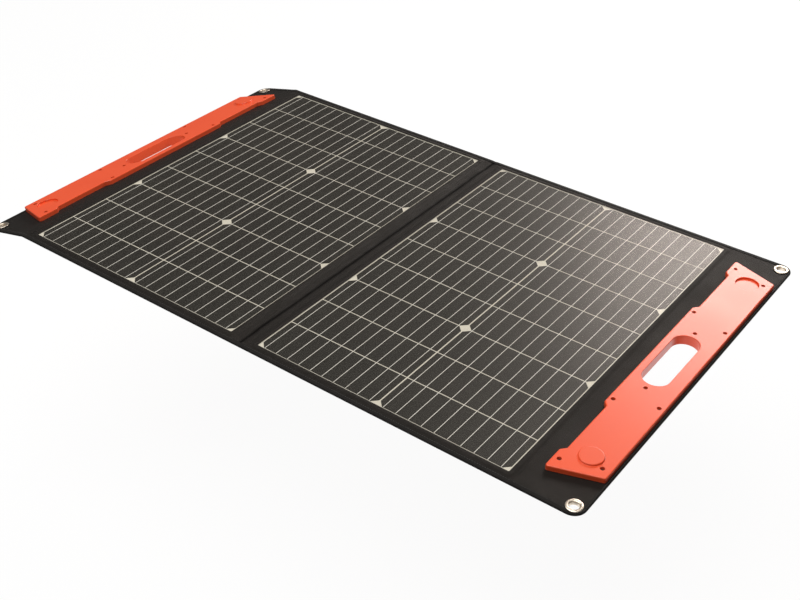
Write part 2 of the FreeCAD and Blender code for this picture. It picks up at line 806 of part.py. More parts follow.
def make_spine():
    """The fold between the panels, with the flat conductor that joins them.

    Its back fabric is pressed a little thinner where the binding is sewn over its ends.
    """
    half = fold_line - d["crease_clearance"]
    x_range = (-half, half)
    back = block("spine_back", x_range, (-cloth_half, cloth_half), (0, d["cloth"]))
    binding_start = d["mat_half_width"] - d["binding_width"] - gap
    pressed = [block(f"spine_pressed_{end}", (-half - 1, half + 1),
                     turned(up, binding_start, d["mat_half_width"]), (-1, d["pressed_cloth"]))
               for end, up in (("front", -1), ("back", 1))]
    node("spine_back_fabric", cut("spine_back_cut", back, pressed))
    conductor_y = (235, 251)
    channel_top = board_level + 0.7
    front = block("spine_front", x_range, (-cloth_half, cloth_half), (board_level, mat_top))
    channel = block("spine_channel", (-half - 1, half + 1), conductor_y, (board_level - 1, channel_top))
    node("spine_front_fabric", cut("spine_front_cut", front, [channel]))
    node("jumper_conductor", block("jumper", x_range, (236, 250), (board_level, channel_top - gap)))
    make_edge_binding("spine", x_range)


# ---------------------------------------------------------------- junction box

def box_corner_places():
    inset = d["box_post_inset"]
    x_places = (d["box_start"] + inset, d["box_start"] + d["box_length"] - inset)
    y_places = (d["box_front"] + inset, d["box_front"] + d["box_width"] - inset)
    return [(x, y) for x in x_places for y in y_places]


def box_range(margin=0):
    x_range = (d["box_start"] + margin, d["box_start"] + d["box_length"] - margin)
    y_range = (d["box_front"] + margin, d["box_front"] + d["box_width"] - margin)
    return x_range, y_range


def cable_exit_y():
    """Where the outgoing cable leaves the coil and enters the junction box."""
    return cable_lines()[-1]


def make_junction_box():
    """Base open downwards, with screw posts, a cable gland and slots for the tabs."""
    wall = d["box_wall"]
    depth = d["box_depth"]
    roof = 1.5
    box_end = d["box_start"] + d["box_length"]
    corner = d["box_corner"]
    shell = cut("box_shell", rounded_block("box_outer", *box_range(), (-depth, -gap), corner),
                [rounded_block("box_hollow", *box_range(wall), (-depth - 1, -roof), corner - wall)])
    posts = [disc(f"box_post_{i}", x, y, (-depth, -roof + 0.5), d["box_post"])
             for i, (x, y) in enumerate(box_corner_places())]
    gland = disc("box_gland", (box_end - 1, box_end + 7), cable_exit_y(), -d["cable_drop"],
                 d["cable_radius"] + 2.6, lying=True)
    solid = join("box_solid", [shell, gland] + posts)
    tools = tab_slots("box", (-roof - 1, 1))
    tools.append(disc("box_cable_hole", (box_end - wall - 1, box_end + 8), cable_exit_y(),
                      -d["cable_drop"], d["cable_radius"] + 0.1, lying=True))
    tools += [disc(f"box_thread_{i}", x, y, (-depth - 1, -4.5), 1.25)
              for i, (x, y) in enumerate(box_corner_places())]
    node("junction_box_base", cut("box_base", solid, tools))
    seal = 0.5
    seal_top = -depth - gap
    ring = rounded_block("box_gasket_outer", *box_range(0.3), (seal_top - seal, seal_top), corner - 0.3)
    hole = rounded_block("box_gasket_inner", *box_range(wall - 0.3),
                         (seal_top - seal - 1, seal_top + 1), corner - wall + 0.3)
    node("junction_box_gasket", cut("box_gasket", ring, [hole]))
    lid_top = seal_top - seal - gap
    lid_level = lid_top - d["box_lid"]
    lid_body = doc.addObject("PartDesign::Body", "box_lid_body")
    lid_plate = pad(lid_body, "box_lid_plate", rectangle(*box_range()), lid_level, d["box_lid"])
    lid_round = rounded(lid_body, "box_lid_corners", lid_plate, standing_edges(lid_plate.Shape),
                        corner.value)
    rounded(lid_body, "box_lid_edge", lid_round, level_edges(lid_round.Shape, lid_level.value), 0.8)
    holes = [disc(f"box_lid_hole_{i}", x, y, (lid_level - 1, lid_top + 1), 1.4)
             for i, (x, y) in enumerate(box_corner_places())]
    node("junction_box_lid", cut("box_lid_cut", lid_body, holes))
    screws = []
    for i, (x, y) in enumerate(box_corner_places()):
        head = disc(f"box_screw_head_{i}", x, y, (lid_level - gap - 1.4, lid_level - gap), 2.6)
        shank = disc(f"box_screw_shank_{i}", x, y, (lid_level - gap - 0.5, -5), 1.2)
        screws.append(join(f"box_screw_{i}", [head, shank]))
    node("junction_box_screws", group("box_screws", screws))
    make_terminals()


def make_terminals():
    """Two terminal blocks with upright tabs, bridged by two diodes."""
    half = 6
    terminals = []
    for i, x in enumerate(TABS):
        foot = block(f"terminal_foot_{i}", (x - half, x + half), (d["tab_y"] - 6, d["tab_y"] + 6),
                     (-8, -2))
        tab = block(f"terminal_tab_{i}", (x - 3, x + 3),
                    (d["tab_y"] - d["tab_thickness"] / 2, d["tab_y"] + d["tab_thickness"] / 2),
                    (-3, backing_level - gap * 2))
        terminals.append(join(f"terminal_{i}", [foot, tab]))
    node("junction_box_terminals", group("terminals", terminals))
    lead_range = (TABS[0] + half + 0.1, TABS[1] - half - 0.1)
    middle = sum(TABS) / 2
    diodes = []
    for i, y in enumerate((d["tab_y"] - 3.2, d["tab_y"] + 3.2)):
        lead = disc(f"diode_lead_{i}", lead_range, y, -5, 0.5, lying=True)
        barrel = disc(f"diode_barrel_{i}", (middle - 4, middle + 4), y, -5, 2.6, lying=True)
        diodes.append(join(f"diode_{i}", [lead, barrel]))
    node("junction_box_diodes", group("diodes", diodes))


# ---------------------------------------------------------------- cable pouch

def pouch_range(margin=0):
    x_range = (d["pouch_start"] + margin, d["pouch_start"] + d["pouch_length"] - margin)
    y_range = (d["pouch_front"] + margin, d["pouch_front"] + d["pouch_width"] - margin)
    return x_range, y_range


def make_pouch():
    """A sewn pocket open at its front, closed by a flap with a hook and a loop strip."""
    cloth = d["pouch_cloth"]
    depth = d["pouch_depth"]
    (x_low, x_high), (front, back) = pouch_range()
    hollow_x, _ = pouch_range(cloth)
    shell = cut("pouch_shell", block("pouch_outer", (x_low, x_high), (front, back), (-depth, -gap)),
                [block("pouch_hollow", hollow_x, (front - 1, back - cloth), (cloth - depth, 1)),
                 disc("pouch_cable_hole", (x_low - 1, x_low + cloth + 1), cable_exit_y(),
                      -d["cable_drop"], d["cable_radius"] + 0.7, lying=True)])
    node("cable_pouch", shell)
    strip = d["strip_thickness"]
    middle = (x_low + x_high) / 2
    strip_x = (middle - d["strip_half_length"], middle + d["strip_half_length"])
    strip_y = (front + 4, front + 24)
    hook_top = -depth - gap
    node("pouch_hook_strip", block("pouch_hooks", strip_x, strip_y, (hook_top - strip, hook_top)))
    loop_top = hook_top - strip - gap
    node("pouch_loop_strip", block("pouch_loops", strip_x, strip_y, (loop_top - strip, loop_top)))
    flap_top = loop_top - strip - gap
    flap_back = front - gap * 4
    front_wall = block("flap_wall", (x_low, x_high), (flap_back - cloth, flap_back),
                       (flap_top - cloth, -d["flap_axis_drop"] - gap))
    lap = block("flap_lap_sheet", (x_low, x_high), (flap_back - cloth, front + d["flap_lap"]),
                (flap_top - cloth, flap_top))
    node("pouch_flap", join("pouch_flap_solid", [front_wall, lap]))


def cable_lines():
    """The Y places of the coil's straight runs, from the plug outwards to the exit."""
    middle = d["pouch_front"] + d["pouch_width"] / 2
    pitch = d["cable_pitch"]
    half = 22
    return [middle, middle + half, middle - half, middle + half + pitch,
            middle - half - pitch, middle + half + pitch * 2]


def make_cable():
    """A flat coil of straight runs and half turns, whose last run enters the junction box."""
    lines = [y.value for y in cable_lines()]
    z = -d["cable_drop"].value
    start = d["pouch_start"].value
    left_x, right_x = start + 62, start + 150
    plug_end = start + 76
    box_end = d["box_start"].value + d["box_length"].value - d["box_wall"].value
    edges = []
    here = Vector(plug_end, lines[0], z)
    for i in range(1, len(lines)):
        outward = 1 if i % 2 else -1
        turn_x = right_x if outward > 0 else left_x
        corner = Vector(turn_x, lines[i - 1], z)
        end = Vector(turn_x, lines[i], z)
        reach = abs(lines[i] - lines[i - 1]) / 2
        side = Vector(turn_x + outward * reach, (lines[i] + lines[i - 1]) / 2, z)
        edges.append(Part.LineSegment(here, corner).toShape())
        edges.append(Part.Arc(corner, side, end).toShape())
        here = end
    edges.append(Part.LineSegment(here, Vector(box_end - 1, lines[-1], z)).toShape())
    path = Part.Wire(edges)
    profile = Part.Wire(Part.makeCircle(d["cable_radius"].value, edges[0].Vertexes[0].Point,
                                        Vector(1, 0, 0)))
    cable = doc.addObject("Part::Feature", "cable")
    cable.Shape = path.makePipeShell([profile], True, False)
    node("output_cable", cable)
    plug_x = (plug_end - d["plug_length"].value, plug_end)
    shell = disc("plug_shell", (plug_x[0] + 6, plug_x[1] - gap), lines[0], z, d["plug_radius"],
                 lying=True)
    nose = disc("plug_nose", (plug_x[0], plug_x[0] + 7), lines[0], z, 2.75, lying=True)
    socket = disc("plug_socket", (plug_x[0] - 1, plug_x[0] + 6), lines[0], z, 1.25, lying=True)
    node("output_plug", cut("plug", join("plug_body", [shell, nose]), [socket]))


# ---------------------------------------------------------------- assembly

def make_side(name, side):
    make_back_cover(name, side)
    make_front_cover(name, side)
    make_edge_binding(name, turned(side, panel_start, panel_end))
    make_laminate(name, side)
    make_cells(name, side)
    make_ribbons(name, side)
    make_flap_cloth(name, side, "flap_back_fabric", (0, d["cloth"]))
    make_flap_cloth(name, side, "flap_front_fabric", (board_level, mat_top))
    make_flap_binding(name, side)
    make_front_plate(name, side)
    make_back_plate(name, side)
    make_screws(name, side)
    make_inserts(name, side)
    make_magnets(name, side)
    make_grommets(name, side)
    make_kickstand(name, side)


def check_document():
    """Stops if any object failed, or if a sub-part has no valid solid."""
    for feature in doc.Objects:
        if "Invalid" in feature.State or "Error" in feature.State:
            raise RuntimeError(f"{feature.Name} failed: {feature.State}")
    for feature in nodes:
        shape = feature.Shape
        if shape.isNull() or not shape.isValid() or not shape.Solids:
            raise RuntimeError(f"{feature.Label} has no valid solid")


def write_parts():
    os.makedirs("parts", exist_ok=True)
    for feature in nodes:
        feature.Shape.exportStep(f"parts/{feature.Label}.step")


for side_name, side_sign in SIDES.items():
    make_side(side_name, side_sign)
make_spine()
make_junction_box()
make_pouch()
make_cable()
doc.recompute()
check_document()
write_parts()
print(len(nodes), "sub-parts written")
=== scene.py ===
"""Looks of the folding solar suitcase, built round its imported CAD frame. Metres throughout."""
import json
import math

import bpy
import numpy as np
from mathutils import Matrix, Vector
from mathutils.geometry import delaunay_2d_cdt


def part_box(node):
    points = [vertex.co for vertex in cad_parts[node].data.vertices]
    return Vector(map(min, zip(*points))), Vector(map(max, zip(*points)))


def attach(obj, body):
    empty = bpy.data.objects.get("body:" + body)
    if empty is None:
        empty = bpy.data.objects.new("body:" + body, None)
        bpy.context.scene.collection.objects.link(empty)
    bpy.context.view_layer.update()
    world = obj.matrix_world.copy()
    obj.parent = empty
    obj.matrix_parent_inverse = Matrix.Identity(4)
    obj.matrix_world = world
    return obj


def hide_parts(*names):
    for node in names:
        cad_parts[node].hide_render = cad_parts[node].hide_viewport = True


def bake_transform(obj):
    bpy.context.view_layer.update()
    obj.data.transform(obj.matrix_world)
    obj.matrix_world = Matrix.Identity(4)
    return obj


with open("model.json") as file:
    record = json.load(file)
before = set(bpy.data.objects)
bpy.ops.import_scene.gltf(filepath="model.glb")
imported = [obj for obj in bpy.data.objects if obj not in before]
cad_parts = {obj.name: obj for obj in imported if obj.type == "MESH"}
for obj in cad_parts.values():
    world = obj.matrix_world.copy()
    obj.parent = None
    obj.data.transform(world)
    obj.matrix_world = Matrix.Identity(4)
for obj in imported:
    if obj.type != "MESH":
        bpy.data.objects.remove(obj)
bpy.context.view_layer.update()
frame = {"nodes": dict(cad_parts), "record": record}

MM = 0.001
SIDES = {"right": 1, "left": -1}
nodes = frame["nodes"]


def low(node, axis):
    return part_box(node)[0]["xyz".index(axis)]


def high(node, axis):
    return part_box(node)[1]["xyz".index(axis)]


def span(node, axis):
    return low(node, axis), high(node, axis)


# ---- places taken from the frame
# The right half's places serve both halves: the left half is the same, turned half a turn about Z.

film_lap = 4 * MM
film_x = span("right_front_film", "x")
film_y = high("right_front_film", "y")
window_x = (film_x[0] + film_lap, film_x[1] - film_lap)
window_y = film_y - film_lap
rim_top = high("right_front_cover", "z")
mat_top = high("spine_front_fabric", "z")
settled_level = mat_top - 0.12 * MM
cloth = high("right_back_cover", "z")
cloth_y = high("right_back_cover", "y")
cloth_end = high("right_flap_back_fabric", "x")
crease_x = (high("right_back_cover", "x") + low("right_flap_back_fabric", "x")) / 2
mat_end = high("right_flap_binding", "x")
mat_y = high("right_flap_binding", "y")
tape_bottom, tape_top = span("right_flap_binding", "z")
joints = {joint["name"]: joint for joint in frame["record"]["behaviour"]["joints"]}
left_droop = math.radians(-joints["left_flap_droop"]["range_deg"][0])

seam_x = crease_x - 7 * MM
mat_corner = 16.8 * MM
crease_lead, crease_run = 5 * MM, 7 * MM
tape_width = 6.5 * MM
end_tape_width = 3.6 * MM
grommet_x = mat_end - 14 * MM
grommet_y = mat_y - 14 * MM
slot_x = low("right_handle_front_plate", "x") + 28.4 * MM
conductor_y = span("jumper_conductor", "y")


# ---- outlines and numbers

def ease(value, start, end):
    """0 before start, 1 after end, smooth between."""
    t = np.clip((value - start) / (end - start), 0, 1)
    return t * t * (3 - 2 * t)


def arc(centre, radius, start, end, count):
    """Points along an arc whose two angles are in quarter turns."""
    angle = np.linspace(start, end, count) * math.pi / 2
    return np.column_stack([centre[0] + radius * np.cos(angle), centre[1] + radius * np.sin(angle)])


def rounded_box(x_range, y_range, radius, count=8):
    (left, right), (front, back) = x_range, y_range
    corners = [(right - radius, back - radius), (left + radius, back - radius),
               (left + radius, front + radius), (right - radius, front + radius)]
    return np.vstack([arc(c, radius, k, k + 1, count) for k, c in enumerate(corners)])


def grown_box(x_range, half_width, extra, radius, count=8):
    """A rounded rectangle about the X axis, made wider by extra all round."""
    half = half_width + extra
    return rounded_box((x_range[0] - extra, x_range[1] + extra), (-half, half), radius, count)


def stadium(x, radius, half_length, count=13):
    straight = half_length - radius
    return np.vstack([arc((x, straight), radius, 0, 2, count), arc((x, -straight), radius, 2, 4, count)])


def spaced(points, step, closed=True):
    """The same line with extra points, so that no stretch is longer than step."""
    ends = np.roll(points, -1, axis=0) if closed else points[1:]
    parts = []
    for start, end in zip(points, ends):
        count = max(1, math.ceil(np.linalg.norm(end - start) / step))
        parts.append(start + (end - start) * np.arange(count)[:, None] / count)
    if not closed:
        parts.append(points[-1:])
    return np.vstack(parts)


def inside(points, loop):
    """Which points lie inside a closed loop."""
    x, y = points[:, :1], points[:, 1:2]
    x0, y0 = loop.T
    x1, y1 = np.roll(x0, -1), np.roll(y0, -1)
    rise = np.where(y1 == y0, 1, y1 - y0)
    crosses = ((y0 > y) != (y1 > y)) & (x < x0 + (y - y0) * (x1 - x0) / rise)
    return crosses.sum(axis=1) % 2 == 1


def distance(points, loop):
    """Distance from each point to the nearest edge of a closed loop."""
    along = np.roll(loop, -1, axis=0) - loop
    offset = points[:, None] - loop
    length = np.maximum((along ** 2).sum(-1), 1e-12)
    t = np.clip((offset * along).sum(-1) / length, 0, 1)
    return np.linalg.norm(offset - t[..., None] * along, axis=-1).min(axis=1)


def ripple(x, y, seed, wavelength, stretch=1):
    """Gentle waves in the plan, about one high, from a few crossing sine waves."""
    draw = np.random.default_rng(seed)
    total = np.zeros_like(x)
    for _ in range(9):
        angle, phase = draw.uniform(0, 2 * math.pi, 2)
        rate = 2 * math.pi / (wavelength * draw.uniform(0.6, 1.7))
        total += np.sin(rate * (x * stretch * math.cos(angle) + y * math.sin(angle)) + phase)
    return total / 3


# ---- mesh makers

def linked(name, data):
    """A new object in the scene that shows this mesh, light or camera."""
    obj = bpy.data.objects.new(name, data)
    bpy.context.scene.collection.objects.link(obj)
    return obj


def piece(name, parts, look, sharp=40):
    """A mesh object with smooth shading, sharp only where two faces meet at more than the angle."""
    verts, faces, uv = parts
    material, slot = look
    mesh = bpy.data.meshes.new(name)
    mesh.from_pydata(np.asarray(verts).tolist(), [], [list(map(int, f)) for f in faces])
    mesh.update()
    mesh.shade_smooth()
    mesh.set_sharp_from_angle(angle=math.radians(sharp))
    layer = mesh.uv_layers.new(name="plan")
    corner = np.empty(len(mesh.loops), int)
    mesh.loops.foreach_get("vertex_index", corner)
    layer.data.foreach_set("uv", np.asarray(uv)[corner].astype(np.float32).ravel())
    mesh.materials.append(material)
    obj = linked(name, mesh)
    return obj


def plan(outer, holes=(), step=4 * MM, rings=()):
    """Triangles that fill an outline round its holes. Rings are extra lines that the mesh follows."""
    points, edges = [], []
    for loop in (outer, *holes, *rings):
        ring = spaced(loop, step)
        first = len(points)
        points += ring.tolist()
        edges += [(first + i, first + (i + 1) % len(ring)) for i in range(len(ring))]
    start, end = outer.min(axis=0), outer.max(axis=0)
    axes = [np.arange(start[k] + step / 2, end[k], step) for k in (0, 1)]
    grid = np.stack(np.meshgrid(*axes), -1).reshape(-1, 2)
    keep = inside(grid, outer)
    for hole in holes:
        keep &= ~inside(grid, hole)
    grid = grid[keep]
    for loop in (outer, *holes, *rings):
        grid = grid[distance(grid, loop) > step * 0.45]
    points += grid.tolist()
    result = delaunay_2d_cdt([Vector(p) for p in points], edges, [], 1, 1e-7)
    flat = np.array([tuple(p) for p in result[0]])
    faces = np.array(result[2])
    centres = flat[faces].mean(axis=1)
    keep = inside(centres, outer)
    for hole in holes:
        keep &= ~inside(centres, hole)
    faces = faces[keep]
    a, b, c = (flat[faces[:, k]] for k in range(3))
    turn = (b[:, 0] - a[:, 0]) * (c[:, 1] - a[:, 1]) - (b[:, 1] - a[:, 1]) * (c[:, 0] - a[:, 0])
    faces[turn < 0] = faces[turn < 0][:, ::-1]
    used = np.unique(faces)
    renumber = np.zeros(len(flat), int)
    renumber[used] = np.arange(len(used))
    return flat[used], renumber[faces]


def closed_shell(faces, count):
    """Faces of a solid between an upper and a lower copy of a sheet, with walls round its borders."""
    edges = {(int(f[i]), int(f[(i + 1) % 3])) for f in faces for i in range(3)}
    walls = [(b, a, a + count, b + count) for a, b in edges if (b, a) not in edges]
    return [*faces.tolist(), *(faces[:, ::-1] + count).tolist(), *walls]


def turned(parts, side):
    """The same for the left side, turned half a turn about Z."""
    verts, faces, uv = parts
    return verts * (side, side, 1), faces, uv


def mirrored(parts, side):
    """The same for the left side, mirrored in X."""
    verts, faces, uv = parts
    return verts * (side, 1, 1), [f[::side] for f in faces], uv


def hung(parts, side):
    """The same for the left side, bent over the crease to where that flap hangs at rest."""
    verts, faces, uv = turned(parts, side)
    if side < 0:
        out = -verts[:, 0] - crease_x
        angle = left_droop * ease(out, -crease_lead, crease_run)
        far = out * np.cos(angle) + verts[:, 2] * np.sin(angle)
        height = verts[:, 2] * np.cos(angle) - out * np.sin(angle)
        verts = np.column_stack([-crease_x - far, verts[:, 1], height])
    return verts, faces, uv


def sheet(plan_mesh, top, bottom):
    """A closed sheet over a plan, between two heights."""
    points, faces = plan_mesh
    top, bottom = (np.broadcast_to(level, len(points)) for level in (top, bottom))
    verts = np.vstack([np.column_stack([points, top]), np.column_stack([points, bottom])])
    return verts, closed_shell(faces, len(points)), np.vstack([points, points])


def draped(plan_mesh, line, thickness, across="x"):
    """A closed sheet whose plan's second axis runs along a line of (place, height) points."""
    points, faces = plan_mesh
    along = lengths(line)
    left = normals(line)
    centre = np.column_stack([np.interp(points[:, 1], along, line[:, k]) for k in (0, 1)])
    facing = np.column_stack([np.interp(points[:, 1], along, left[:, k]) for k in (0, 1)])
    facing /= np.linalg.norm(facing, axis=1)[:, None]
    layers = [centre + facing * offset * thickness / 2 for offset in (1, -1)]
    order = (0, 1, 2) if across == "x" else (1, 0, 2)
    verts = np.vstack([np.column_stack([points[:, 0], layer])[:, order] for layer in layers])
    faces = closed_shell(faces, len(points))
    if across == "y":
        faces = [f[::-1] for f in faces]
    return verts, faces, np.vstack([points, points])


def rounded_line(corners, radius, count=9):
    """A line through corners that are rounded off, as (place, height) points."""
    corners = np.asarray(corners, float)
    line = [corners[:1]]
    for before, corner, after in zip(corners, corners[1:], corners[2:]):
        into, out = before - corner, after - corner
        reach = [min(radius, np.linalg.norm(v) / 2) for v in (into, out)]
        start = corner + into / np.linalg.norm(into) * reach[0]
        end = corner + out / np.linalg.norm(out) * reach[1]
        t = np.linspace(0, 1, count)[:, None]
        line.append(start * (1 - t) ** 2 + corner * 2 * t * (1 - t) + end * t ** 2)
    line.append(corners[-1:])
    return np.vstack(line)


def normals(path, closed=False):
    """Unit vectors to the left of each point of a plan path."""
    if closed:
        along = np.roll(path, -1, axis=0) - np.roll(path, 1, axis=0)
    else:
        along = np.gradient(path, axis=0)
    along /= np.linalg.norm(along, axis=1)[:, None]
    return np.column_stack([-along[:, 1], along[:, 0]])


def lengths(path):
    steps = np.linalg.norm(np.diff(path, axis=0), axis=1)
    return np.concatenate([[0], np.cumsum(steps)])


def swept(path, sections, closed=False):
    """Verts, faces and UVs of closed sections, one per path point, given as (inward, height)."""
    path = np.asarray(path)
    sections = np.asarray(sections)
    left = normals(path, closed)
    count, ring = sections.shape[:2]
    flat = path[:, None] + left[:, None] * sections[..., :1]
    verts = np.concatenate([flat, sections[..., 1:]], axis=-1).reshape(-1, 3)
    faces = []
    for i in range(count if closed else count - 1):
        j = (i + 1) % count
        for k in range(ring):
            m = (k + 1) % ring
            faces.append((i * ring + k, j * ring + k, j * ring + m, i * ring + m))
    if not closed:
        faces.append(tuple(range(ring)))
        faces.append(tuple((count - 1) * ring + k for k in reversed(range(ring))))
    girth = lengths(np.vstack([sections[0], sections[0][:1]]))[:-1]
    along = lengths(path)
    uv = np.stack(np.meshgrid(along, girth, indexing="ij"), -1).reshape(-1, 2)
    return verts, faces, uv


def joined(parts):
    """One set of verts, faces and UVs out of several."""
    verts, faces, uvs, first = [], [], [], 0
    for part_verts, part_faces, part_uv in parts:
        verts.append(part_verts)
        faces += [tuple(first + i for i in f) for f in part_faces]
        uvs.append(part_uv)
        first += len(part_verts)
    return np.vstack(verts), faces, np.vstack(uvs)


def tape_section(width, top, bottom, thickness=0.45 * MM, count=9):
    """Section of binding folded over an edge, from its upper inner edge round to its lower one."""
    middle, half = (top + bottom) / 2, (top - bottom) / 2
    bulge = 1.5 * MM
    turn = np.linspace(math.pi / 2, -math.pi / 2, count)
    outer = [(bulge * (1 - math.cos(t)), middle + half * math.sin(t)) for t in turn]
    core = half - thickness
    inner = [(thickness + (bulge - thickness * 0.5) * (1 - math.cos(t)), middle + core * math.sin(t))
             for t in turn[::-1]]
    lip = thickness * 0.3
    return [(width, top - lip), (width - lip, top), *outer, (width - lip, bottom), (width, bottom + lip),
            (width, bottom + thickness), *inner, (width, top - thickness)]


def stitch_row(path, depth, height, pitch=3.4 * MM, length=2.5 * MM, radius=0.24 * MM, closed=False):
    """A row of sewn stitches along a plan path, each a short length of thread that arches slightly."""
    if closed:
        path = np.vstack([path, path[:1]])
    left = normals(path)
    line = path + left * depth
    along = lengths(line)
    starts = np.arange(pitch / 2, along[-1] - length, pitch)
    rings, sides = 5, 6
    verts, faces = [], []
    tilt = np.linspace(0, math.pi, rings + 2)[1:-1]
    spin = np.arange(sides) * 2 * math.pi / sides
    shape = [(-length / 2, 0, 0)]
    for t in tilt:
        reach = -length / 2 * math.cos(t)
        size = radius * math.sin(t) ** 0.5
        shape += [(reach, size * math.cos(s), size * math.sin(s)) for s in spin]
    shape.append((length / 2, 0, 0))
    shape = np.array(shape)
    links = [(0, 1 + (k + 1) % sides, 1 + k) for k in range(sides)]
    for r in range(rings - 1):
        a, b = 1 + r * sides, 1 + (r + 1) * sides
        links += [(a + k, a + (k + 1) % sides, b + (k + 1) % sides, b + k) for k in range(sides)]
    last = len(shape) - 1
    links += [(last, last - sides + k, last - sides + (k + 1) % sides) for k in range(sides)]
    for i, start in enumerate(starts):
        place = start + length / 2 + shape[:, 0]
        x = np.interp(place, along, line[:, 0]) + np.interp(place, along, left[:, 0]) * shape[:, 1]
        y = np.interp(place, along, line[:, 1]) + np.interp(place, along, left[:, 1]) * shape[:, 1]
        verts.append(np.column_stack([x, y, height + shape[:, 2]]))
        faces += [tuple(i * len(shape) + k for k in f) for f in links]
    verts = np.vstack(verts)
    return verts, faces, verts[:, :2]


def sew(name, rows, slot, body):
    """Stitches that ride on one body."""
    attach(piece(name, rows, (thread, slot)), body)


def lathe(profile, centre, segments=56):
    """A closed profile of (radius, height) turned about an upright line."""
    profile = np.asarray(profile)
    count = len(profile)
    turn = np.arange(segments) * 2 * math.pi / segments
    x = centre[0] + profile[None, :, 0] * np.cos(turn)[:, None]
    y = centre[1] + profile[None, :, 0] * np.sin(turn)[:, None]
    z = np.broadcast_to(profile[None, :, 1], x.shape)
    verts = np.stack([x, y, z], -1).reshape(-1, 3)
    faces = []
    for i in range(segments):
        j = (i + 1) % segments
        for k in range(count):
            m = (k + 1) % count
            faces.append((i * count + k, j * count + k, j * count + m, i * count + m))
    return verts, faces, verts[:, :2]


def softened_loop(points, rounds=2):
    """Cuts the corners of a closed line, the way a drawn part has soft edges."""
    points = np.asarray(points, float)
    for _ in range(rounds):
        ahead = np.roll(points, -1, axis=0)
        points = np.stack([points * 0.75 + ahead * 0.25, points * 0.25 + ahead * 0.75], 1).reshape(-1, 2)
    return points


# ---- shader helpers

def colour(red, green, blue):
    """A colour given in screen values from 0 to 255, as linear light with alpha."""
    def linear(value):
        value /= 255
        return value / 12.92 if value <= 0.04045 else ((value + 0.055) / 1.055) ** 2.4
    return (linear(red), linear(green), linear(blue), 1)


def shaded(base, share):
    """The same colour at a share of its light."""
    return (*(c * share for c in base[:3]), 1)


def add(tree, kind, inputs=None, **settings):
    node = tree.nodes.new("ShaderNode" + kind)
    for key, value in settings.items():
        setattr(node, key, value)
    for key, value in (inputs or {}).items():
        if isinstance(value, bpy.types.NodeSocket):
            tree.links.new(value, node.inputs[key])
        else:
            node.inputs[key].default_value = value
    return node


def calc(tree, operation, *values):
    return add(tree, "Math", dict(enumerate(values)), operation=operation).outputs[0]


def axes_of(tree, place):
    return add(tree, "SeparateXYZ", {0: place}).outputs


def sine(tree, value, half_wave):
    """Waves whose crests and troughs are each half_wave wide."""
    return calc(tree, "SINE", calc(tree, "MULTIPLY", value, math.pi / half_wave))


def blend_colours(tree, factor, first, second):
    return add(tree, "Mix", {0: factor, 6: first, 7: second}, data_type="RGBA").outputs[2]


def new_material(name, source="Object"):
    """A material and its rest-pose places in metres: a made piece's plan UVs, or a CAD node's own."""
    material = bpy.data.materials.new(name)
    material.use_nodes = True
    tree = material.node_tree
    tree.nodes.clear()
    return material, tree, add(tree, "TexCoord").outputs[source]


def finish_surface(tree, shader):
    add(tree, "OutputMaterial", {"Surface": shader.outputs[0]})


def finish_solid(tree, tone, normal, roughness, **inputs):
    named = {key.replace("_", " ").title().replace("Ior", "IOR"): value for key, value in inputs.items()}
    named |= {"Base Color": tone, "Roughness": roughness}
    if normal is not None:
        named["Normal"] = normal
    finish_surface(tree, add(tree, "BsdfPrincipled", named))


def noise(tree, place, scale, detail=3, roughness=0.55):
    inputs = {"Vector": place, "Scale": scale, "Detail": detail, "Roughness": roughness}
    return add(tree, "TexNoise", inputs).outputs["Fac"]


def ranged(tree, value, low_out, high_out, low_in=0.3, high_in=0.7):
    return add(tree, "MapRange", {0: value, 1: low_in, 2: high_in, 3: low_out, 4: high_out}).outputs[0]


def bump(tree, height, distance_m, strength=1, normal=None):
    inputs = {"Height": height, "Distance": distance_m, "Strength": strength}
    if normal is not None:
        inputs["Normal"] = normal
    return add(tree, "Bump", inputs).outputs[0]


def weave(tree, place, pitch):
    """Height of a plain weave, whose threads pass over and under each other."""
    split = axes_of(tree, place)
    waves = [sine(tree, split[k], pitch) for k in (0, 1)]
    over = calc(tree, "GREATER_THAN", calc(tree, "MULTIPLY", waves[0], waves[1]), 0)
    humps = [calc(tree, "ABSOLUTE", wave) for wave in waves]
    return add(tree, "Mix", {0: over, 2: humps[0], 3: humps[1]}, data_type="FLOAT").outputs[0]


# ---- materials

def fabric(name, base, pitch=0.9 * MM, depth=0.16 * MM, gloss=0.15, fade=1.5):
    """Coated Oxford cloth: a plain weave, uneven thread colour, a soft sheen and painted shade along the
    fold line.
    """
    material, tree, place = new_material(name, "UV")
    threads = weave(tree, place, pitch)
    patches = noise(tree, place, 14, 4)
    grain = noise(tree, place, 1400, 2)
    dark = shaded(base, 0.55)
    light = shaded(base, fade)
    tone = blend_colours(tree, ranged(tree, threads, 0, 1, 0.1, 0.9), dark, base)
    tone = blend_colours(tree, ranged(tree, patches, 0, 0.55), tone, light)
    tone = blend_colours(tree, ranged(tree, grain, 0, 0.35), tone, light)
    # Painted shade: within a few mm of the fold line the cloth is darkened towards 0.3 of its tone,
    # standing in for the shade in the fold's dip. Its gloss is lowered there too.
    from_fold = calc(tree, "ABSOLUTE", axes_of(tree, place)[0])
    fold_shade = ranged(tree, from_fold, 0.85, 0, 0.5 * MM, 4 * MM)
    tone = blend_colours(tree, fold_shade, tone, shaded(base, 0.3))
    creases = noise(tree, place, 45, 3)
    normal = bump(tree, creases, 1.2 * MM, 0.35)
    normal = bump(tree, threads, depth, 0.8, normal)
    rough = ranged(tree, patches, 0.5, 0.66)
    shine = calc(tree, "MULTIPLY", gloss, calc(tree, "SUBTRACT", 1, fold_shade))
    finish_solid(tree, tone, normal, rough, specular_ior_level=shine, specular_tint=(1, 0.9, 0.82, 1),
                 sheen_weight=0.02, sheen_roughness=0.5)
    return material


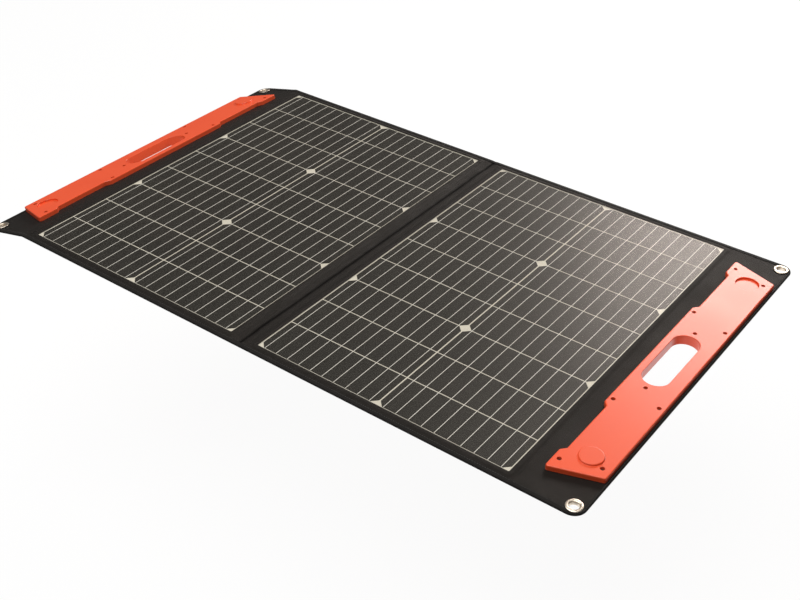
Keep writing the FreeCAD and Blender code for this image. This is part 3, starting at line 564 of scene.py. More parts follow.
def ribbed_tape(name, base, pitch=1.5 * MM):
    """Grosgrain tape with ribs across its length."""
    material, tree, place = new_material(name, "UV")
    split = axes_of(tree, place)
    ribs = calc(tree, "ABSOLUTE", sine(tree, split[0], pitch))
    weft = sine(tree, split[1], 0.35 * MM)
    patches = noise(tree, place, 30, 4)
    light = shaded(base, 1.7)
    tone = blend_colours(tree, ranged(tree, ribs, 0, 0.8, 0.2, 1), shaded(base, 0.5), base)
    tone = blend_colours(tree, ranged(tree, patches, 0, 0.5), tone, light)
    normal = bump(tree, calc(tree, "ADD", ribs, calc(tree, "MULTIPLY", weft, 0.15)), 0.16 * MM, 0.8)
    finish_solid(tree, tone, normal, 0.75, specular_ior_level=0.15, sheen_weight=0.03)
    return material


def webbing(name, base):
    """Woven strap with a herringbone of slanting threads."""
    material, tree, place = new_material(name, "UV")
    split = axes_of(tree, place)
    zigzag = calc(tree, "PINGPONG", split[1], 2.5 * MM)
    slant = calc(tree, "ADD", split[0], zigzag)
    threads = calc(tree, "ABSOLUTE", sine(tree, slant, 1.1 * MM))
    tone = blend_colours(tree, threads, shaded(base, 0.5), base)
    normal = bump(tree, threads, 0.2 * MM, 0.8)
    finish_solid(tree, tone, normal, 0.7, specular_ior_level=0.3, sheen_weight=0.15)
    return material


def thread_material(name, base):
    """Bonded sewing thread with a twist."""
    material, tree, place = new_material(name, "UV")
    twist = add(tree, "TexWave", {"Vector": place, "Scale": 900.0, "Distortion": 1.0})
    tone = blend_colours(tree, twist.outputs[1], shaded(base, 0.6), base)
    finish_solid(tree, tone, bump(tree, twist.outputs[1], 0.05 * MM), 0.5, sheen_weight=0.1)
    return material


def orange_plastic(name):
    """Moulded plastic with a fine spark-eroded grain, slightly uneven gloss and painted highlight spots."""
    material, tree, place = new_material(name)
    grain = noise(tree, place, 1500, 2)
    patches = noise(tree, place, 9, 4)
    # Painted highlight: small spots blended towards the plastic's brightly lit colour.
    glare_spots = noise(tree, place, 160, 5, 0.7)
    tone = blend_colours(tree, ranged(tree, patches, 0, 1), colour(232, 86, 46), colour(224, 81, 44))
    tone = blend_colours(tree, ranged(tree, glare_spots, 0, 0.25, 0.62, 0.8), tone, colour(240, 128, 96))
    finish_solid(tree, tone, bump(tree, grain, 0.05 * MM, 0.5), ranged(tree, patches, 0.28, 0.34))
    return material


def mottled(name, first, second, spots, grain, depth, strength=1, most=1, rough=0.5, spread=0,
            rough_grain=False, **inputs):
    """A solid with patches of a second colour, a fine grain and a roughness that varies by its spread."""
    material, tree, place = new_material(name)
    patches = noise(tree, place, *spots)
    fine = patches if grain is None else noise(tree, place, *grain)
    tone = blend_colours(tree, ranged(tree, patches, 0, most), first, second)
    if spread:
        rough = ranged(tree, fine if rough_grain else patches, rough, rough + spread)
    finish_solid(tree, tone, bump(tree, fine, depth, strength), rough, **inputs)
    return material


def moulded_black(name, base, roughness=0.45, grain_scale=900):
    """Dark moulded plastic or rubber with a fine grain."""
    return mottled(name, base, shaded(base, 1.5), (25, 4), (grain_scale, 2), 0.06 * MM, 0.6,
                   rough=roughness, spread=0.12)


def metal(name, base, roughness):
    """Metal with fine scratches and a faint tarnish."""
    return mottled(name, base, shaded(base, 0.6), (120, 4), (700, 6, 0.7), 0.02 * MM, 0.3, 0.35,
                   roughness, 0.15, rough_grain=True, metallic=1.0)


def board_material(name, base):
    return mottled(name, base, shaded(base, 0.7), (300, 5, 0.7), None, 0.1 * MM, rough=0.8)


def silicon(name):
    """Cells: near-black silicon with hair-thin silver fingers, each strip a slightly different tone."""
    material, tree, place = new_material(name)
    split = axes_of(tree, place)
    strip = calc(tree, "FLOOR", calc(tree, "DIVIDE", split[1], 62.4 * MM))
    column = calc(tree, "FLOOR", calc(tree, "DIVIDE", split[0], 184 * MM))
    index = add(tree, "CombineXYZ", {0: strip, 1: column})
    shade = add(tree, "TexWhiteNoise", {"Vector": index.outputs[0]}, noise_dimensions="3D").outputs["Value"]
    finger = calc(tree, "FRACT", calc(tree, "DIVIDE", split[1], 1.4 * MM))
    on_finger = calc(tree, "LESS_THAN", finger, 0.06)
    grain = noise(tree, place, 60, 4)
    tone = blend_colours(tree, shade, colour(28, 26, 22), colour(34, 31, 27))
    tone = blend_colours(tree, ranged(tree, grain, 0, 0.3), tone, colour(40, 38, 34))
    tone = blend_colours(tree, calc(tree, "MULTIPLY", on_finger, 0.5), tone, colour(150, 148, 142))
    finish_solid(tree, tone, None, 0.5, specular_ior_level=0.2)
    return material


def film(name, pitch=2.4 * MM):
    """Clear polymer film, embossed all over with a grid of small dimples."""
    material, tree, place = new_material(name)
    wander = noise(tree, place, 35, 3)
    split = axes_of(tree, place)
    dimples = calc(tree, "MULTIPLY", *(sine(tree, split[k], pitch / 2) for k in (0, 1)))
    normal = bump(tree, dimples, 0.004 * MM, 1)
    normal = bump(tree, wander, 0.1 * MM, 0.2, normal)
    in_dimple, between = (0.1, 0.09, 0.09, 1), (1, 0.93, 0.89, 1)
    shine = blend_colours(tree, ranged(tree, dimples, 0, 1, -0.4, 0.4), in_dimple, between)
    gloss = add(tree, "BsdfGlossy", {"Color": shine, "Roughness": 0.3, "Normal": normal})
    clear = add(tree, "BsdfTransparent", {"Color": (0.97, 0.97, 0.96, 1)})
    glancing = add(tree, "Fresnel", {"IOR": 1.45}).outputs[0]
    outer = calc(tree, "SUBTRACT", 1, add(tree, "NewGeometry").outputs["Backfacing"])
    share = calc(tree, "MULTIPLY", glancing, outer)
    finish_surface(tree, add(tree, "MixShader", {0: share, 1: clear.outputs[0], 2: gloss.outputs[0]}))
    return material


def pile(name, base):
    """Hook-and-loop tape: a dense fuzz of small loops."""
    material, tree, place = new_material(name, "UV")
    cells = add(tree, "TexVoronoi", {"Vector": place, "Scale": 1100.0})
    tone = blend_colours(tree, cells.outputs[0], base, shaded(base, 0.3))
    finish_solid(tree, tone, bump(tree, cells.outputs[0], 0.5 * MM), 0.95, sheen_weight=0.4)
    return material


# Each look is a material and a slot name; piece unpacks the slot name but does not use it. Stitches carry
# the slot name of what they are sewn to.
mat_cloth = fabric("mat_cloth", colour(13, 11, 9), gloss=0.23), "mat_fabric"
back_cloth = fabric("back_cloth", colour(50, 49, 49), pitch=1.1 * MM, depth=0.2 * MM), "mat_fabric"
tape = ribbed_tape("binding_tape", colour(24, 22, 20)), "binding_tape"
strap_web = webbing("strap_webbing", colour(62, 60, 58)), "webbing"
thread = thread_material("black_thread", colour(58, 55, 52))
nickel = metal("bright_nickel", colour(222, 210, 194), 0.3), "grommet_nickel"
loop_pile = pile("loop_pile", colour(48, 46, 45)), "hook_and_loop"

CAD_MATERIALS = {
    "orange_plastic": orange_plastic("orange_plastic_grain"),
    # The screw heads get a dark red-brown: painted shade of the orange plastic round them in their deep
    # holes, not the steel's own colour.
    "black_screw": moulded_black("screw_steel_painted_hole_shade", colour(62, 34, 26), 0.35),
    "brass": metal("insert_brass", colour(214, 172, 96), 0.3),
    "magnet": metal("magnet_nickel", colour(200, 200, 204), 0.2),
    "board": board_material("glass_fibre_board", colour(190, 186, 150)),
    "white_backing": mottled("cream_backing", colour(206, 200, 187), colour(217, 212, 200),
                             (22, 4), (800, 2), 0.03 * MM, rough=0.6),
    "silicon": silicon("silicon_cells"),
    "tinned_ribbon": mottled("tinned_ribbon_metal", colour(226, 222, 214), colour(246, 243, 238),
                             (90, 5, 0.7), None, 0.05 * MM, rough=0.42),
    "clear_film": film("dimpled_film"),
    "stand_board": board_material("stand_fibreboard", colour(150, 126, 92)),
    "box_plastic": moulded_black("box_black_plastic", colour(40, 40, 42), 0.42),
    "rubber_seal": moulded_black("seal_rubber", colour(34, 34, 34), 0.7),
    "zinc_screw": metal("zinc_steel", colour(190, 190, 186), 0.3),
    "copper": metal("bare_copper", colour(205, 125, 84), 0.3),
    "diode_black": moulded_black("gloss_black_plastic", colour(30, 30, 32), 0.25),
    "cable_jacket": moulded_black("cable_rubber", colour(36, 35, 35), 0.5, 400),
}


def dress_cad_nodes():
    """Gives every CAD node the material of its slot in the record."""
    for part in frame["record"]["subparts"]:
        material = CAD_MATERIALS.get(part["material_slot"])
        if material:
            obj = nodes[part["node"]]
            obj.data.materials.clear()
            obj.data.materials.append(material)


# ---- the mat's cloth

def over_conductor(y):
    """1 over the flat conductors that cross the fold near its ends, where the cloth can't sink in."""
    start, end = conductor_y
    return ease(np.abs(y), start - 16 * MM, start - 2 * MM) * ease(np.abs(y), end + 16 * MM, end + 2 * MM)


def front_height(x, y):
    """Top of the front cloth: over the film's edge, down to the mat, and into the fold."""
    beyond_x = np.maximum(np.maximum(window_x[0] - x, x - window_x[1]), 0)
    beyond_y = np.maximum(np.abs(y) - window_y, 0)
    away = np.hypot(beyond_x, beyond_y)
    lip = ease(away, 0, 0.9 * MM) * 0.3 * MM
    top = rim_top - 0.3 * MM + lip
    settled = ease(away, 4.5 * MM, 8.4 * MM)
    toward_fold = ease(x, 16 * MM, 0)
    dip = (0.85 * MM * ease(x, 4.5 * MM, 0) + 0.3 * MM * toward_fold) * (1 - 0.7 * over_conductor(y))
    free = ease(away, 7 * MM, 11 * MM) * ease(cloth_y - np.abs(y), 5 * MM, 12 * MM)
    waves = 0.16 * MM * ripple(x, y, 3, 40 * MM) * free
    waves += 0.22 * MM * ripple(x * 0.5, y, 4, 22 * MM) * free * toward_fold * (1 - over_conductor(y))
    lowest = settled_level - 1.25 * MM
    return top * (1 - settled) + np.maximum(settled_level - dip + waves, lowest) * settled


def make_panel_front(name, side):
    outer = rounded_box((0, seam_x), (-cloth_y, cloth_y), 0.2 * MM, 2)
    window = grown_box(window_x, window_y, 0, 1.2 * MM, 4)
    rings = [grown_box(window_x, window_y, r, 1.2 * MM + r, 4)
             for r in (0.45 * MM, 1 * MM, 4.6 * MM, 6.4 * MM, 8.2 * MM)]
    points, faces = plan(outer, [window], 3.6 * MM, rings)
    top = front_height(*points.T)
    cover = piece(f"{name}_front_cloth", turned(sheet((points, faces), top, top - 0.4 * MM), side),
                  mat_cloth)
    blend_fold(cover)
    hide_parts(f"{name}_front_cover", "spine_front_fabric")


def back_height(x, y):
    """Underside of the back cloth: flat under the board, and lifted a little round it."""
    beyond = np.maximum(np.maximum(film_x[0] - x, x - film_x[1]), np.abs(y) - film_y)
    lifted = ease(beyond, 0, 4 * MM)
    free = ease(mat_y - np.abs(y), 6 * MM, 12 * MM)
    return 0.02 * MM + (0.22 * MM + 0.1 * MM * ripple(x, y, 8, 36 * MM)) * lifted * free


def make_panel_back(name, side):
    outer = rounded_box((0, seam_x), (-cloth_y, cloth_y), 0.2 * MM, 2)
    rings = [grown_box(film_x, film_y, r, 1 * MM + r, 4) for r in (0, 3 * MM)]
    points, faces = plan(outer, [], 6 * MM, rings)
    bottom = back_height(*points.T)
    cover = piece(f"{name}_back_cloth", turned(sheet((points, faces), bottom + 0.45 * MM, bottom), side),
                  back_cloth)
    blend_fold(cover)
    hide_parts(f"{name}_back_cover", "spine_back_fabric")


def flap_shape(inset):
    """Outline of the handle flap's cloth, from the seam to the rounded end."""
    end, half, radius = cloth_end - inset, cloth_y - inset, mat_corner - 0.8 * MM - inset
    corners = [arc((end - radius, half - radius), radius, 0, 1, 12),
               np.array([(seam_x, half), (seam_x, -half)]),
               arc((end - radius, radius - half), radius, 3, 4, 12)]
    return np.vstack(corners)


def circle(x, y, radius, count=40):
    return arc((x, y), radius, 0, 4 - 4 / count, count)


def make_flap_cloths(name, side):
    holes = [circle(grommet_x, up * grommet_y, 6.45 * MM) for up in (-1, 1)]
    holes.append(stadium(slot_x, 20.7 * MM, 60.7 * MM))
    plan_mesh = plan(flap_shape(0), holes, 4 * MM)
    points = plan_mesh[0]
    x, y = points.T
    beside_handle = ease(np.abs(y), 238 * MM, 262 * MM)
    free = beside_handle * ease(cloth_y - np.abs(y), 4 * MM, 9 * MM)
    free *= ease(cloth_end - x, 4 * MM, 10 * MM)
    free *= ease(np.hypot(x - grommet_x, np.abs(y) - grommet_y), 11 * MM, 18 * MM)
    hollow = ease(x - crease_x, 9 * MM, -1 * MM) * ease(cloth_y - np.abs(y), 5 * MM, 12 * MM)
    on_panel = ease(x - crease_x, 3 * MM, -3 * MM)
    top = front_height(x, y) * on_panel + settled_level * (1 - on_panel)
    top += 0.35 * MM * free * ripple(x, y, 11, 45 * MM) - 0.12 * MM * hollow
    front = piece(f"{name}_flap_front_cloth", hung(sheet(plan_mesh, top, top - 0.5 * MM), side),
                  mat_cloth)
    bottom = 0.04 * MM + np.abs(0.2 * MM * free * ripple(x, y, 12, 40 * MM))
    back = piece(f"{name}_flap_back_cloth", hung(sheet(plan_mesh, bottom + 0.45 * MM, bottom), side),
                 back_cloth)
    for cover, node in ((front, "flap_front_fabric"), (back, "flap_back_fabric")):
        blend_flap(cover)
        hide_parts(f"{name}_{node}")


def blend_flap(obj):
    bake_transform(obj)


def blend_fold(obj):
    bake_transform(obj)


def panel_edges():
    """Plan paths of the panel's front and back edges, each with the mat on its left."""
    ends = np.array([(0, -mat_y), (30 * MM, -mat_y), (seam_x, -mat_y)])
    near_fold = spaced(ends[:2], 1.5 * MM, closed=False)
    front = np.vstack([near_fold, spaced(ends[1:], 6 * MM, closed=False)[1:]])
    return [front, front[::-1] * (1, -1)]


def flap_edge():
    """Plan path round the flap's three free edges, with the mat on its left."""
    radius = mat_corner
    front = spaced(np.array([(seam_x, -mat_y), (mat_end - radius, -mat_y)]), 2 * MM, closed=False)
    end = spaced(np.array([(mat_end, radius - mat_y), (mat_end, mat_y - radius)]), 6 * MM, closed=False)
    return np.vstack([front, arc((mat_end - radius, radius - mat_y), radius, 3, 4, 16)[1:-1], end,
                      arc((mat_end - radius, mat_y - radius), radius, 0, 1, 16)[1:-1],
                      front[::-1] * (1, -1)])


def uneven(along, seed, amount):
    """Small wavering of a hand-guided seam."""
    return amount * ripple(along, np.zeros_like(along), seed, 60 * MM)


def make_bindings(name, side):
    """Binding tape folded over the mat's edges, with its two rows of stitches."""
    strips, rows = [], []
    for k, path in enumerate(panel_edges()):
        wander = uneven(lengths(path), 20 + k, 0.12 * MM)
        pinch = 0.5 * MM * ease(path[:, 0], 5 * MM, 0)
        strips.append(swept(path, [tape_section(tape_width + w, tape_top - p, tape_bottom + p * 0.4)
                                   for w, p in zip(wander, pinch)]))
        usable = path[path[:, 0] > 6 * MM]
        rows += [stitch_row(usable, tape_width - 1.5 * MM, z) for z in (tape_top, tape_bottom)]
    panel_tape = piece(f"{name}_panel_binding", turned(joined(strips), side), tape)
    blend_fold(panel_tape)
    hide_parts(f"{name}_edge_binding", "spine_edge_binding")
    blend_fold(piece(f"{name}_panel_stitches", turned(joined(rows), side), (thread, "binding_tape")))

    path = flap_edge()
    along = lengths(path)
    narrow = ease(path[:, 0], mat_end - mat_corner, mat_end - 1 * MM)
    width = tape_width + (end_tape_width - tape_width) * narrow + uneven(along, 25, 0.1 * MM)
    parts = swept(path, [tape_section(w, tape_top, tape_bottom) for w in width])
    flap_tape = piece(f"{name}_flap_binding_tape", hung(parts, side), tape)
    blend_flap(flap_tape)
    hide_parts(f"{name}_flap_binding")
    stitch_depth = width - 1.3 * MM
    line = path + normals(path) * stitch_depth[:, None]
    rows = hung(joined([stitch_row(line, 0, z) for z in (tape_top, tape_bottom)]), side)
    blend_flap(piece(f"{name}_flap_stitches", rows, (thread, "binding_tape")))


def make_board_stitches(name, side):
    """The row of stitches round the board's pocket, seen on the back of the mat."""
    margin = 3.4 * MM
    loop = spaced(grown_box(film_x, film_y, margin, 6 * MM), 5 * MM)
    row = turned(stitch_row(loop, 0, 0.12 * MM, closed=True), side)
    sew(f"{name}_board_stitches", row, "mat_fabric", f"{name}_panel")


# ---- grommets

def make_grommets(name, side):
    """Rolled nickel eyelets with their washers."""
    hole, barrel, flange = 5.75 * MM, 6.35 * MM, 10.25 * MM
    seat = tape_top + 0.05 * MM
    under = tape_bottom - 0.05 * MM
    bottom, top = span("right_grommets", "z")
    eyelet = [(flange, seat), (flange, seat + 0.35 * MM), (flange - 0.9 * MM, top - 0.15 * MM),
              (flange - 2.1 * MM, top), (hole + 1.2 * MM, top - 0.1 * MM),
              (hole + 0.25 * MM, seat + 0.2 * MM), (hole, seat - 0.8 * MM), (hole, under - 0.4 * MM),
              (hole + 0.4 * MM, bottom + 0.1 * MM), (hole + 1.1 * MM, bottom),
              (hole + 1.9 * MM, bottom + 0.25 * MM), (barrel + 1.4 * MM, bottom + 0.6 * MM),
              (barrel + 0.3 * MM, bottom + 0.62 * MM), (barrel, under), (barrel, seat - 0.3 * MM),
              (barrel + 0.4 * MM, seat)]
    washer = [(barrel + 0.1 * MM, under), (barrel + 0.1 * MM, under - 0.8 * MM),
              (flange - 1.6 * MM, under - MM), (flange - 0.3 * MM, under - 0.7 * MM),
              (flange, under - 0.2 * MM), (flange, under)]
    parts = []
    for up in (-1, 1):
        centre = (grommet_x, up * grommet_y)
        parts += [lathe(softened_loop(eyelet)[::-1], centre), lathe(softened_loop(washer)[::-1], centre)]
    eyelets = piece(f"{name}_eyelets", hung(joined(parts), side), nickel, sharp=60)
    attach(eyelets, f"{name}_flap")
    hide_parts(f"{name}_grommets")


# ---- kickstands

def slab_plan(node, inset, radius, step, ring_insets=()):
    """Plan of a soft slab with rounded corners, set in a little from a node's box."""
    def outline(extra):
        ranges = [(low(node, axis) + inset + extra, high(node, axis) - inset - extra) for axis in "xy"]
        return rounded_box(*ranges, radius - extra)
    return outline(0), plan(outline(0), [], step, [outline(extra) for extra in ring_insets])


def make_kickstand_cover(name, side):
    """Cloth sleeve sewn round the kickstand's board, with tape over its edges."""
    node = "right_kickstand_sleeve"
    bottom, top = span(node, "z")
    middle, half = (bottom + top) / 2, (top - bottom) / 2
    outline, plan_mesh = slab_plan(node, 0.6 * MM, 12 * MM, 6 * MM, (2 * MM, 5 * MM, 9 * MM))
    points = plan_mesh[0]
    swell = ease(distance(points, outline), 0, 9 * MM)
    thick = half * (0.8 + 0.2 * swell)
    sag = 0.16 * MM * swell * (1 + ripple(*points.T, 31, 70 * MM))
    cover = piece(f"{name}_kickstand_cover",
                  mirrored(sheet(plan_mesh, middle + thick - sag * 0.5, middle - thick + sag), side),
                  back_cloth)
    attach(cover, f"{name}_kickstand")
    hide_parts(f"{name}_kickstand_sleeve")

    edge = half - 0.15 * MM
    path = spaced(slab_plan(node, 0, 12.6 * MM, 30 * MM)[0], 4 * MM)
    width = 8 * MM + uneven(np.arange(len(path)) * 4 * MM, 33, 0.12 * MM)
    width[0] = width[-1]
    band = swept(path, [tape_section(w, middle + edge, middle - edge) for w in width], closed=True)
    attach(piece(f"{name}_kickstand_binding", mirrored(band, side), tape),
            f"{name}_kickstand")
    rows = [stitch_row(path, 6.3 * MM, middle + up * edge, closed=True) for up in (-1, 1)]
    sew(f"{name}_kickstand_stitches", mirrored(joined(rows), side), "binding_tape", f"{name}_kickstand")


def make_hinge_cloth(name, side):
    """Cloth sewn to the mat and to the top of the kickstand, which the kickstand swings on."""
    hinge_y, hinge_z = joints["right_kickstand_swing"]["pos_m"][1:]
    stand_top = high("right_kickstand_sleeve", "z")
    on_mat, on_stand = -0.3 * MM, stand_top + 0.4 * MM
    line = rounded_line([(hinge_y + 15 * MM, on_mat), (hinge_y + 4 * MM, on_mat), (hinge_y, hinge_z),
                         (hinge_y - 4 * MM, on_stand), (hinge_y - 16 * MM, on_stand)], 4 * MM)
    x_range = (low("right_kickstand_sleeve", "x") + 10 * MM, high("right_kickstand_sleeve", "x") - 10 * MM)
    plan_mesh = plan(rounded_box(x_range, (0, lengths(line)[-1]), 3 * MM, 4), [], 2.6 * MM)
    cloth_hinge = piece(f"{name}_hinge_cloth", mirrored(draped(plan_mesh, line, 0.5 * MM), side),
                        back_cloth)
    rows = [stitch_row(np.array([(x_range[0] + 3 * MM, y), (x_range[1] - 3 * MM, y)]), 0, -0.55 * MM)
            for y in (hinge_y + 8 * MM, hinge_y + 13 * MM)]
    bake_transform(cloth_hinge)
    sew(f"{name}_hinge_stitches", mirrored(joined(rows), side), "mat_fabric", f"{name}_panel")


def box_stitches(x_range, y_range, height):
    """A rectangle of stitches with a cross in it."""
    (x0, x1), (y0, y1) = x_range, y_range
    corners = np.array([(x0, y0), (x1, y0), (x1, y1), (x0, y1)])
    crosses = [np.array([(x0, y0), (x1, y1)]), np.array([(x0, y1), (x1, y0)])]
    rows = [stitch_row(cross, 0, height) for cross in crosses]
    return joined([stitch_row(corners, 0, height, closed=True), *rows])


def make_stay_strap(name, side):
    """Webbing that stops the kickstand at its full angle. It lies bunched up beside the closed stand."""
    node = "right_stay_strap"
    top, under = high(node, "z") - 0.35 * MM, low("right_kickstand_sleeve", "z") - 0.5 * MM
    panel_end, stand_edge = high(node, "x") + 6 * MM, high("right_kickstand_sleeve", "x")
    start, end = high(node, "x") - 2 * MM, low(node, "x") - 0.3 * MM
    bend = stand_edge + 2.4 * MM
    stand_end = stand_edge - 26 * MM
    line = rounded_line([(panel_end, top), (bend, top), (bend, under), (stand_end, under)], 2.2 * MM, 14)
    line = spaced(line, 0.3 * MM, closed=False)
    across = np.linspace(low(node, "y"), high(node, "y"), 9)
    count = len(line)
    points = np.stack(np.meshgrid(across, lengths(line), indexing="ij"), -1).reshape(-1, 2)
    index = np.arange(len(points)).reshape(len(across), count)
    blocks = (index[:-1, :-1], index[1:, :-1], index[1:, 1:], index[:-1, 1:])
    a, b, c, e = (block.ravel() for block in blocks)
    faces = np.vstack([np.column_stack([a, b, c]), np.column_stack([a, c, e])])
    verts, faces, uv = draped((points, faces), line, 0.7 * MM, across="y")
    swing = math.radians(joints["right_kickstand_swing"]["range_deg"][1])
    pulled_out = swing * (joints["right_kickstand_swing"]["pos_m"][1] - across.mean())
    uv[:, 1] += pulled_out * ease(-verts[:, 0], -start, -end)
    strap = piece(f"{name}_stay_webbing", mirrored((verts, faces, uv), side), strap_web)
    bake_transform(strap)
    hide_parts(f"{name}_stay_strap")
    y_range = (across[0] + 3 * MM, across[-1] - 3 * MM)
    spots = (("panel", (start + 1 * MM, panel_end - 1.5 * MM), top - 0.4 * MM),
             ("kickstand", (stand_end + 2 * MM, stand_end + 16 * MM), under - 0.4 * MM))
    for body, x_range, height in spots:
        rows = mirrored(box_stitches(x_range, y_range, height), side)
        sew(f"{name}_stay_stitches_{body}", rows, "webbing", f"{name}_{body}")


def make_fuzzy_patch(name, node, body, facing, side=1):
    """A slab of hook-and-loop tape, whose working face is a little uneven."""
    right = node.replace("left_", "right_")
    outline, plan_mesh = slab_plan(right, 0.2 * MM, 2.5 * MM, 1.6 * MM)
    points = plan_mesh[0]
    inner = ease(distance(points, outline), 0, 0.8 * MM)
    fuzz = 0.1 * MM * ripple(*points.T, 41, 2.6 * MM) * inner + 0.25 * MM * (1 - inner)
    top, bottom = high(right, "z") - 0.02 * MM, low(right, "z") + 0.02 * MM
    if facing > 0:
        layers = (top - np.abs(fuzz), np.full(len(points), bottom))
    else:
        layers = (np.full(len(points), top), bottom + np.abs(fuzz))
    patch = piece(name, mirrored(sheet(plan_mesh, *layers), side), loop_pile)
    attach(patch, body)
    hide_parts(node)


# ---- cable pouch

def far_corners(x_range, end_y, corner, inset=0, count=10):
    """Points round the two corners at the far end of a plan, from the right one to the left one."""
    (left, right), centre_y = x_range, end_y - corner
    return np.vstack([arc((right - corner, centre_y), corner - inset, 0, 1, count),
                      arc((left + corner, centre_y), corner - inset, 1, 2, count)])


def relaxed(verts, faces, held, slack, frames, floor):
    """Where a hanging sheet comes to rest when it has slack and some of its points are held."""
    mesh = bpy.data.meshes.new("draft")
    mesh.from_pydata(verts.tolist(), [], faces.tolist())
    draft = linked("draft", mesh)
    draft.vertex_groups.new(name="held").add(np.flatnonzero(held).tolist(), 1, "REPLACE")
    cloth_modifier = draft.modifiers.new("cloth", "CLOTH")
    settings = cloth_modifier.settings
    settings.vertex_group_mass = "held"
    settings.shrink_min = -slack
    settings.quality = 8
    settings.mass = 0.15
    settings.bending_stiffness = 0.4
    cloth_modifier.point_cache.frame_start = 1
    cloth_modifier.point_cache.frame_end = frames
    for frame_number in range(1, frames + 1):
        bpy.context.scene.frame_set(frame_number)
    hanging = draft.evaluated_get(bpy.context.evaluated_depsgraph_get())
    result = np.array([tuple(v.co) for v in hanging.data.vertices])
    bpy.data.objects.remove(draft)
    bpy.context.scene.frame_set(1)
    result[:, 2] = np.clip(result[:, 2], floor, -0.4 * MM)
    return result


def make_pouch():
    """Pocket of soft cloth that holds the coiled cable, with tape sewn round three of its edges."""
    node = "cable_pouch"
    x_range = span(node, "x")
    y_range = (low(node, "y") + 0.6 * MM, high(node, "y"))
    floor = low(node, "z") + 0.1 * MM
    flange = 8 * MM
    outline = rounded_box(x_range, y_range, 1 * MM, 3)
    points, faces = plan(outline, [], 3.6 * MM)
    x, y = points.T
    from_side = np.minimum(x - x_range[0], x_range[1] - x)
    from_back = y_range[1] - y
    rise = ease(from_side, flange - MM, flange + 13 * MM) * ease(from_back, flange - MM, flange + 15 * MM)
    height = -0.5 * MM + (floor + 0.9 * MM) * rise
    strip_x, strip_y = (span("pouch_hook_strip", axis) for axis in "xy")
    on_strip = (x > strip_x[0]) & (x < strip_x[1]) & (y > strip_y[0]) & (y < strip_y[1])
    height[on_strip] = floor + 0.1 * MM
    held = (from_side < flange - MM) | (from_back < flange - MM) | on_strip
    held |= (y < y_range[0] + 4 * MM) & (from_side < flange + 14 * MM)
    verts = relaxed(np.column_stack([points, height]), faces, held, 0.05, 24, floor)
    facing = np.zeros_like(verts)
    a, b, c = (verts[faces[:, k]] for k in range(3))
    for k in range(3):
        np.add.at(facing, faces[:, k], np.cross(b - a, c - a))
    facing /= np.linalg.norm(facing, axis=1)[:, None]
    lining = verts + facing * 0.45 * MM
    shell = np.vstack([lining, verts]), closed_shell(faces, len(points)), np.vstack([points, points])
    pocket = piece("pouch_pocket", shell, back_cloth)
    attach(pocket, "right_panel")
    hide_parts(node)

    path = np.vstack([[(x_range[1], y_range[0])], far_corners(x_range, y_range[1], 5 * MM, count=8),
                      [(x_range[0], y_range[0])]])
    path = spaced(path, 4 * MM, closed=False)
    upper, lower = -0.75 * MM, -1.15 * MM
    section = [(0, upper), (0, lower + 0.1 * MM), (0.2 * MM, lower), (flange - 0.2 * MM, lower),
               (flange, lower + 0.1 * MM), (flange, upper)]
    band = swept(path, [section] * len(path))
    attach(piece("pouch_edge_tape", band, tape), "right_panel")
    rows = joined([stitch_row(path, depth, lower) for depth in (1.6 * MM, flange - 1.6 * MM)])
    sew("pouch_edge_stitches", rows, "binding_tape", "right_panel")


def make_pouch_flap():
    """Flap over the pouch's mouth: sewn to the mat, down the mouth and back under the pouch."""
    node = "pouch_flap"
    x_range = span(node, "x")
    wall_y = low(node, "y") + 0.6 * MM
    lap_z = low(node, "z") + 0.6 * MM
    sewn_z = -0.4 * MM
    line = rounded_line([(wall_y - 11 * MM, sewn_z), (wall_y - 0.2 * MM, sewn_z), (wall_y, lap_z),
                         (high(node, "y"), lap_z)], 2.6 * MM)
    length = lengths(line)[-1]
    lap_corner = 12 * MM
    outline = np.vstack([[(x_range[0], 0), (x_range[1], 0)], far_corners(x_range, length, lap_corner)])
    plan_mesh = plan(outline, [], 2.4 * MM)
    flap = piece("pouch_flap_cloth", draped(plan_mesh, line, 0.7 * MM), back_cloth)
    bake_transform(flap)
    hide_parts(node)
    inset = 3 * MM
    hem = np.vstack([[(x_range[1] - inset, wall_y + 6 * MM)],
                     far_corners(x_range, high(node, "y"), lap_corner, inset),
                     [(x_range[0] + inset, wall_y + 6 * MM)]])
    sew("pouch_flap_stitches", stitch_row(hem, 0, lap_z - 0.36 * MM), "mat_fabric", "pouch_flap")
    seam = np.array([(x_range[0] + inset, wall_y - 8 * MM), (x_range[1] - inset, wall_y - 8 * MM)])
    sew("pouch_flap_seam", stitch_row(seam, 0, sewn_z - 0.36 * MM), "mat_fabric", "right_panel")


# ---- stage, light and camera

def aim(obj, place, target):
    obj.location = place
    obj.rotation_mode = "QUATERNION"
    obj.rotation_quaternion = (Vector(target) - Vector(place)).to_track_quat("-Z", "Y")


def area_light(name, place, target, size, power, tint=(1, 1, 1)):
    data = bpy.data.lights.new(name, "AREA")
    data.shape = "RECTANGLE"
    data.size, data.size_y = size
    data.energy = power
    data.color = tint
    obj = linked(name, data)
    aim(obj, place, target)
    return obj


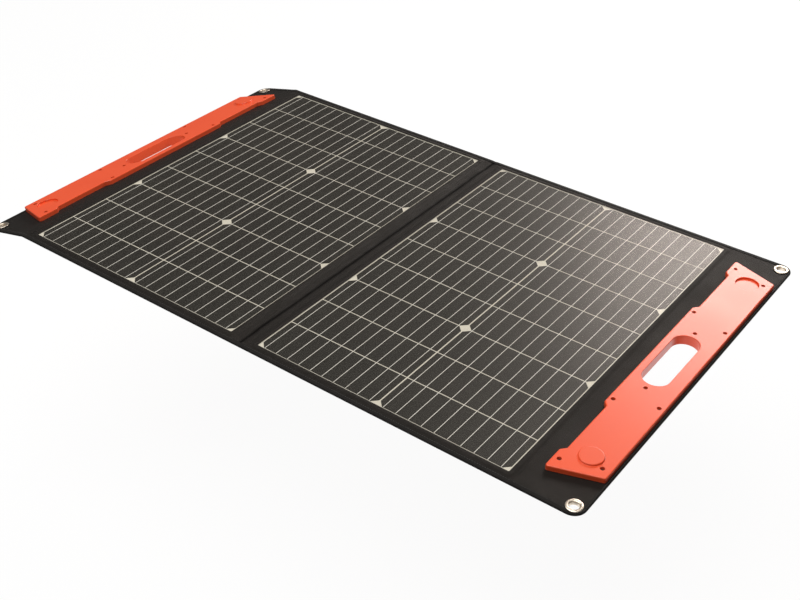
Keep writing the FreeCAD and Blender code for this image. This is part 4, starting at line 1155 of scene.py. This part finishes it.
def make_floor():
    """A pale floor below the open kickstands. It is clear when it is seen from underneath."""
    reach, level = 30, -0.4
    corners = [(x * reach, y * reach, level) for x, y in ((-1, -1), (1, -1), (1, 1), (-1, 1))]
    material, tree, _ = new_material("pale_floor")
    camera_ray = add(tree, "LightPath").outputs["Is Camera Ray"]
    tone = blend_colours(tree, camera_ray, (0.25, 0.25, 0.25, 1), (0.96, 0.96, 0.96, 1))
    diffuse = add(tree, "BsdfDiffuse", {"Color": tone})
    glow = add(tree, "Emission", {"Color": (1, 1, 1, 1), "Strength": 1.0})
    seen = calc(tree, "MULTIPLY", camera_ray, 0.93)
    pale = add(tree, "MixShader", {0: seen, 1: diffuse.outputs[0], 2: glow.outputs[0]})
    clear = add(tree, "BsdfTransparent")
    behind = add(tree, "NewGeometry").outputs["Backfacing"]
    finish_surface(tree, add(tree, "MixShader", {0: behind, 1: pale.outputs[0], 2: clear.outputs[0]}))
    mesh = bpy.data.meshes.new("floor")
    mesh.from_pydata(corners, [], [(0, 1, 2, 3)])
    mesh.materials.append(material)
    linked("floor", mesh)


def make_world():
    """White behind the object, and a dimmer even light from all round."""
    world = bpy.data.worlds.new("studio")
    bpy.context.scene.world = world
    world.use_nodes = True
    tree = world.node_tree
    tree.nodes.clear()
    seen = add(tree, "LightPath").outputs["Is Camera Ray"]
    around = add(tree, "Background", {"Color": (1, 0.98, 0.96, 1), "Strength": 0.16})
    behind = add(tree, "Background", {"Color": (1, 1, 1, 1), "Strength": 1.0})
    mix = add(tree, "MixShader", {0: seen, 1: around.outputs[0], 2: behind.outputs[0]})
    add(tree, "OutputWorld", {"Surface": mix.outputs[0]})


def make_lights():
    area_light("overhead", (-0.4, -0.8, 3.2), (0, 0, 0), (3.2, 3.2), 126, (1, 0.985, 0.965))
    under = area_light("under_fill", (0, 0, -0.385), (0, 0, 0), (1.7, 1.2), 8)
    under.visible_camera = False
    area_light("rear_softbox", (-0.15, 2.9, 1.55), (0.35, 0.1, 0), (1.5, 0.9), 62, (1, 0.93, 0.88))


def make_camera():
    """Eye level and turn of the view from the right front, with a little roll."""
    turn, down, roll = (math.radians(a) for a in (35.98, 35.618, 1.108))
    ahead = Vector((-math.sin(turn) * math.cos(down), math.cos(turn) * math.cos(down), -math.sin(down)))
    right = ahead.cross(Vector((0, 0, 1))).normalized()
    up = right.cross(ahead)
    rolled_right = right * math.cos(roll) + up * math.sin(roll)
    rolled_up = up * math.cos(roll) - right * math.sin(roll)
    data = bpy.data.cameras.new("camera")
    data.lens = 54.11
    data.sensor_width = 36
    camera = linked("camera", data)
    camera.matrix_world = Matrix.Translation((0.8585, -1.1339, 0.9223)) @ Matrix(
        (rolled_right, rolled_up, -ahead)).transposed().to_4x4()
    bpy.context.scene.camera = camera


# ---- assembly

PATCHES = (("stand_hooks", "hook_patch", "panel", -1), ("stand_loops", "loop_patch", "kickstand", 1))

dress_cad_nodes()
for side_name, side_sign in SIDES.items():
    for make in (make_panel_front, make_panel_back, make_flap_cloths, make_bindings, make_board_stitches,
                 make_grommets, make_kickstand_cover, make_hinge_cloth, make_stay_strap):
        make(side_name, side_sign)
    for patch_name, node_end, body_end, facing in PATCHES:
        make_fuzzy_patch(f"{side_name}_{patch_name}", f"{side_name}_{node_end}", f"{side_name}_{body_end}",
                         facing, side_sign)
make_pouch()
make_pouch_flap()
make_fuzzy_patch("pouch_hooks", "pouch_hook_strip", "right_panel", -1)
make_fuzzy_patch("pouch_loops", "pouch_loop_strip", "pouch_flap", 1)
make_floor()
make_world()
make_lights()
make_camera()
bpy.context.scene.view_settings.view_transform = "Standard"
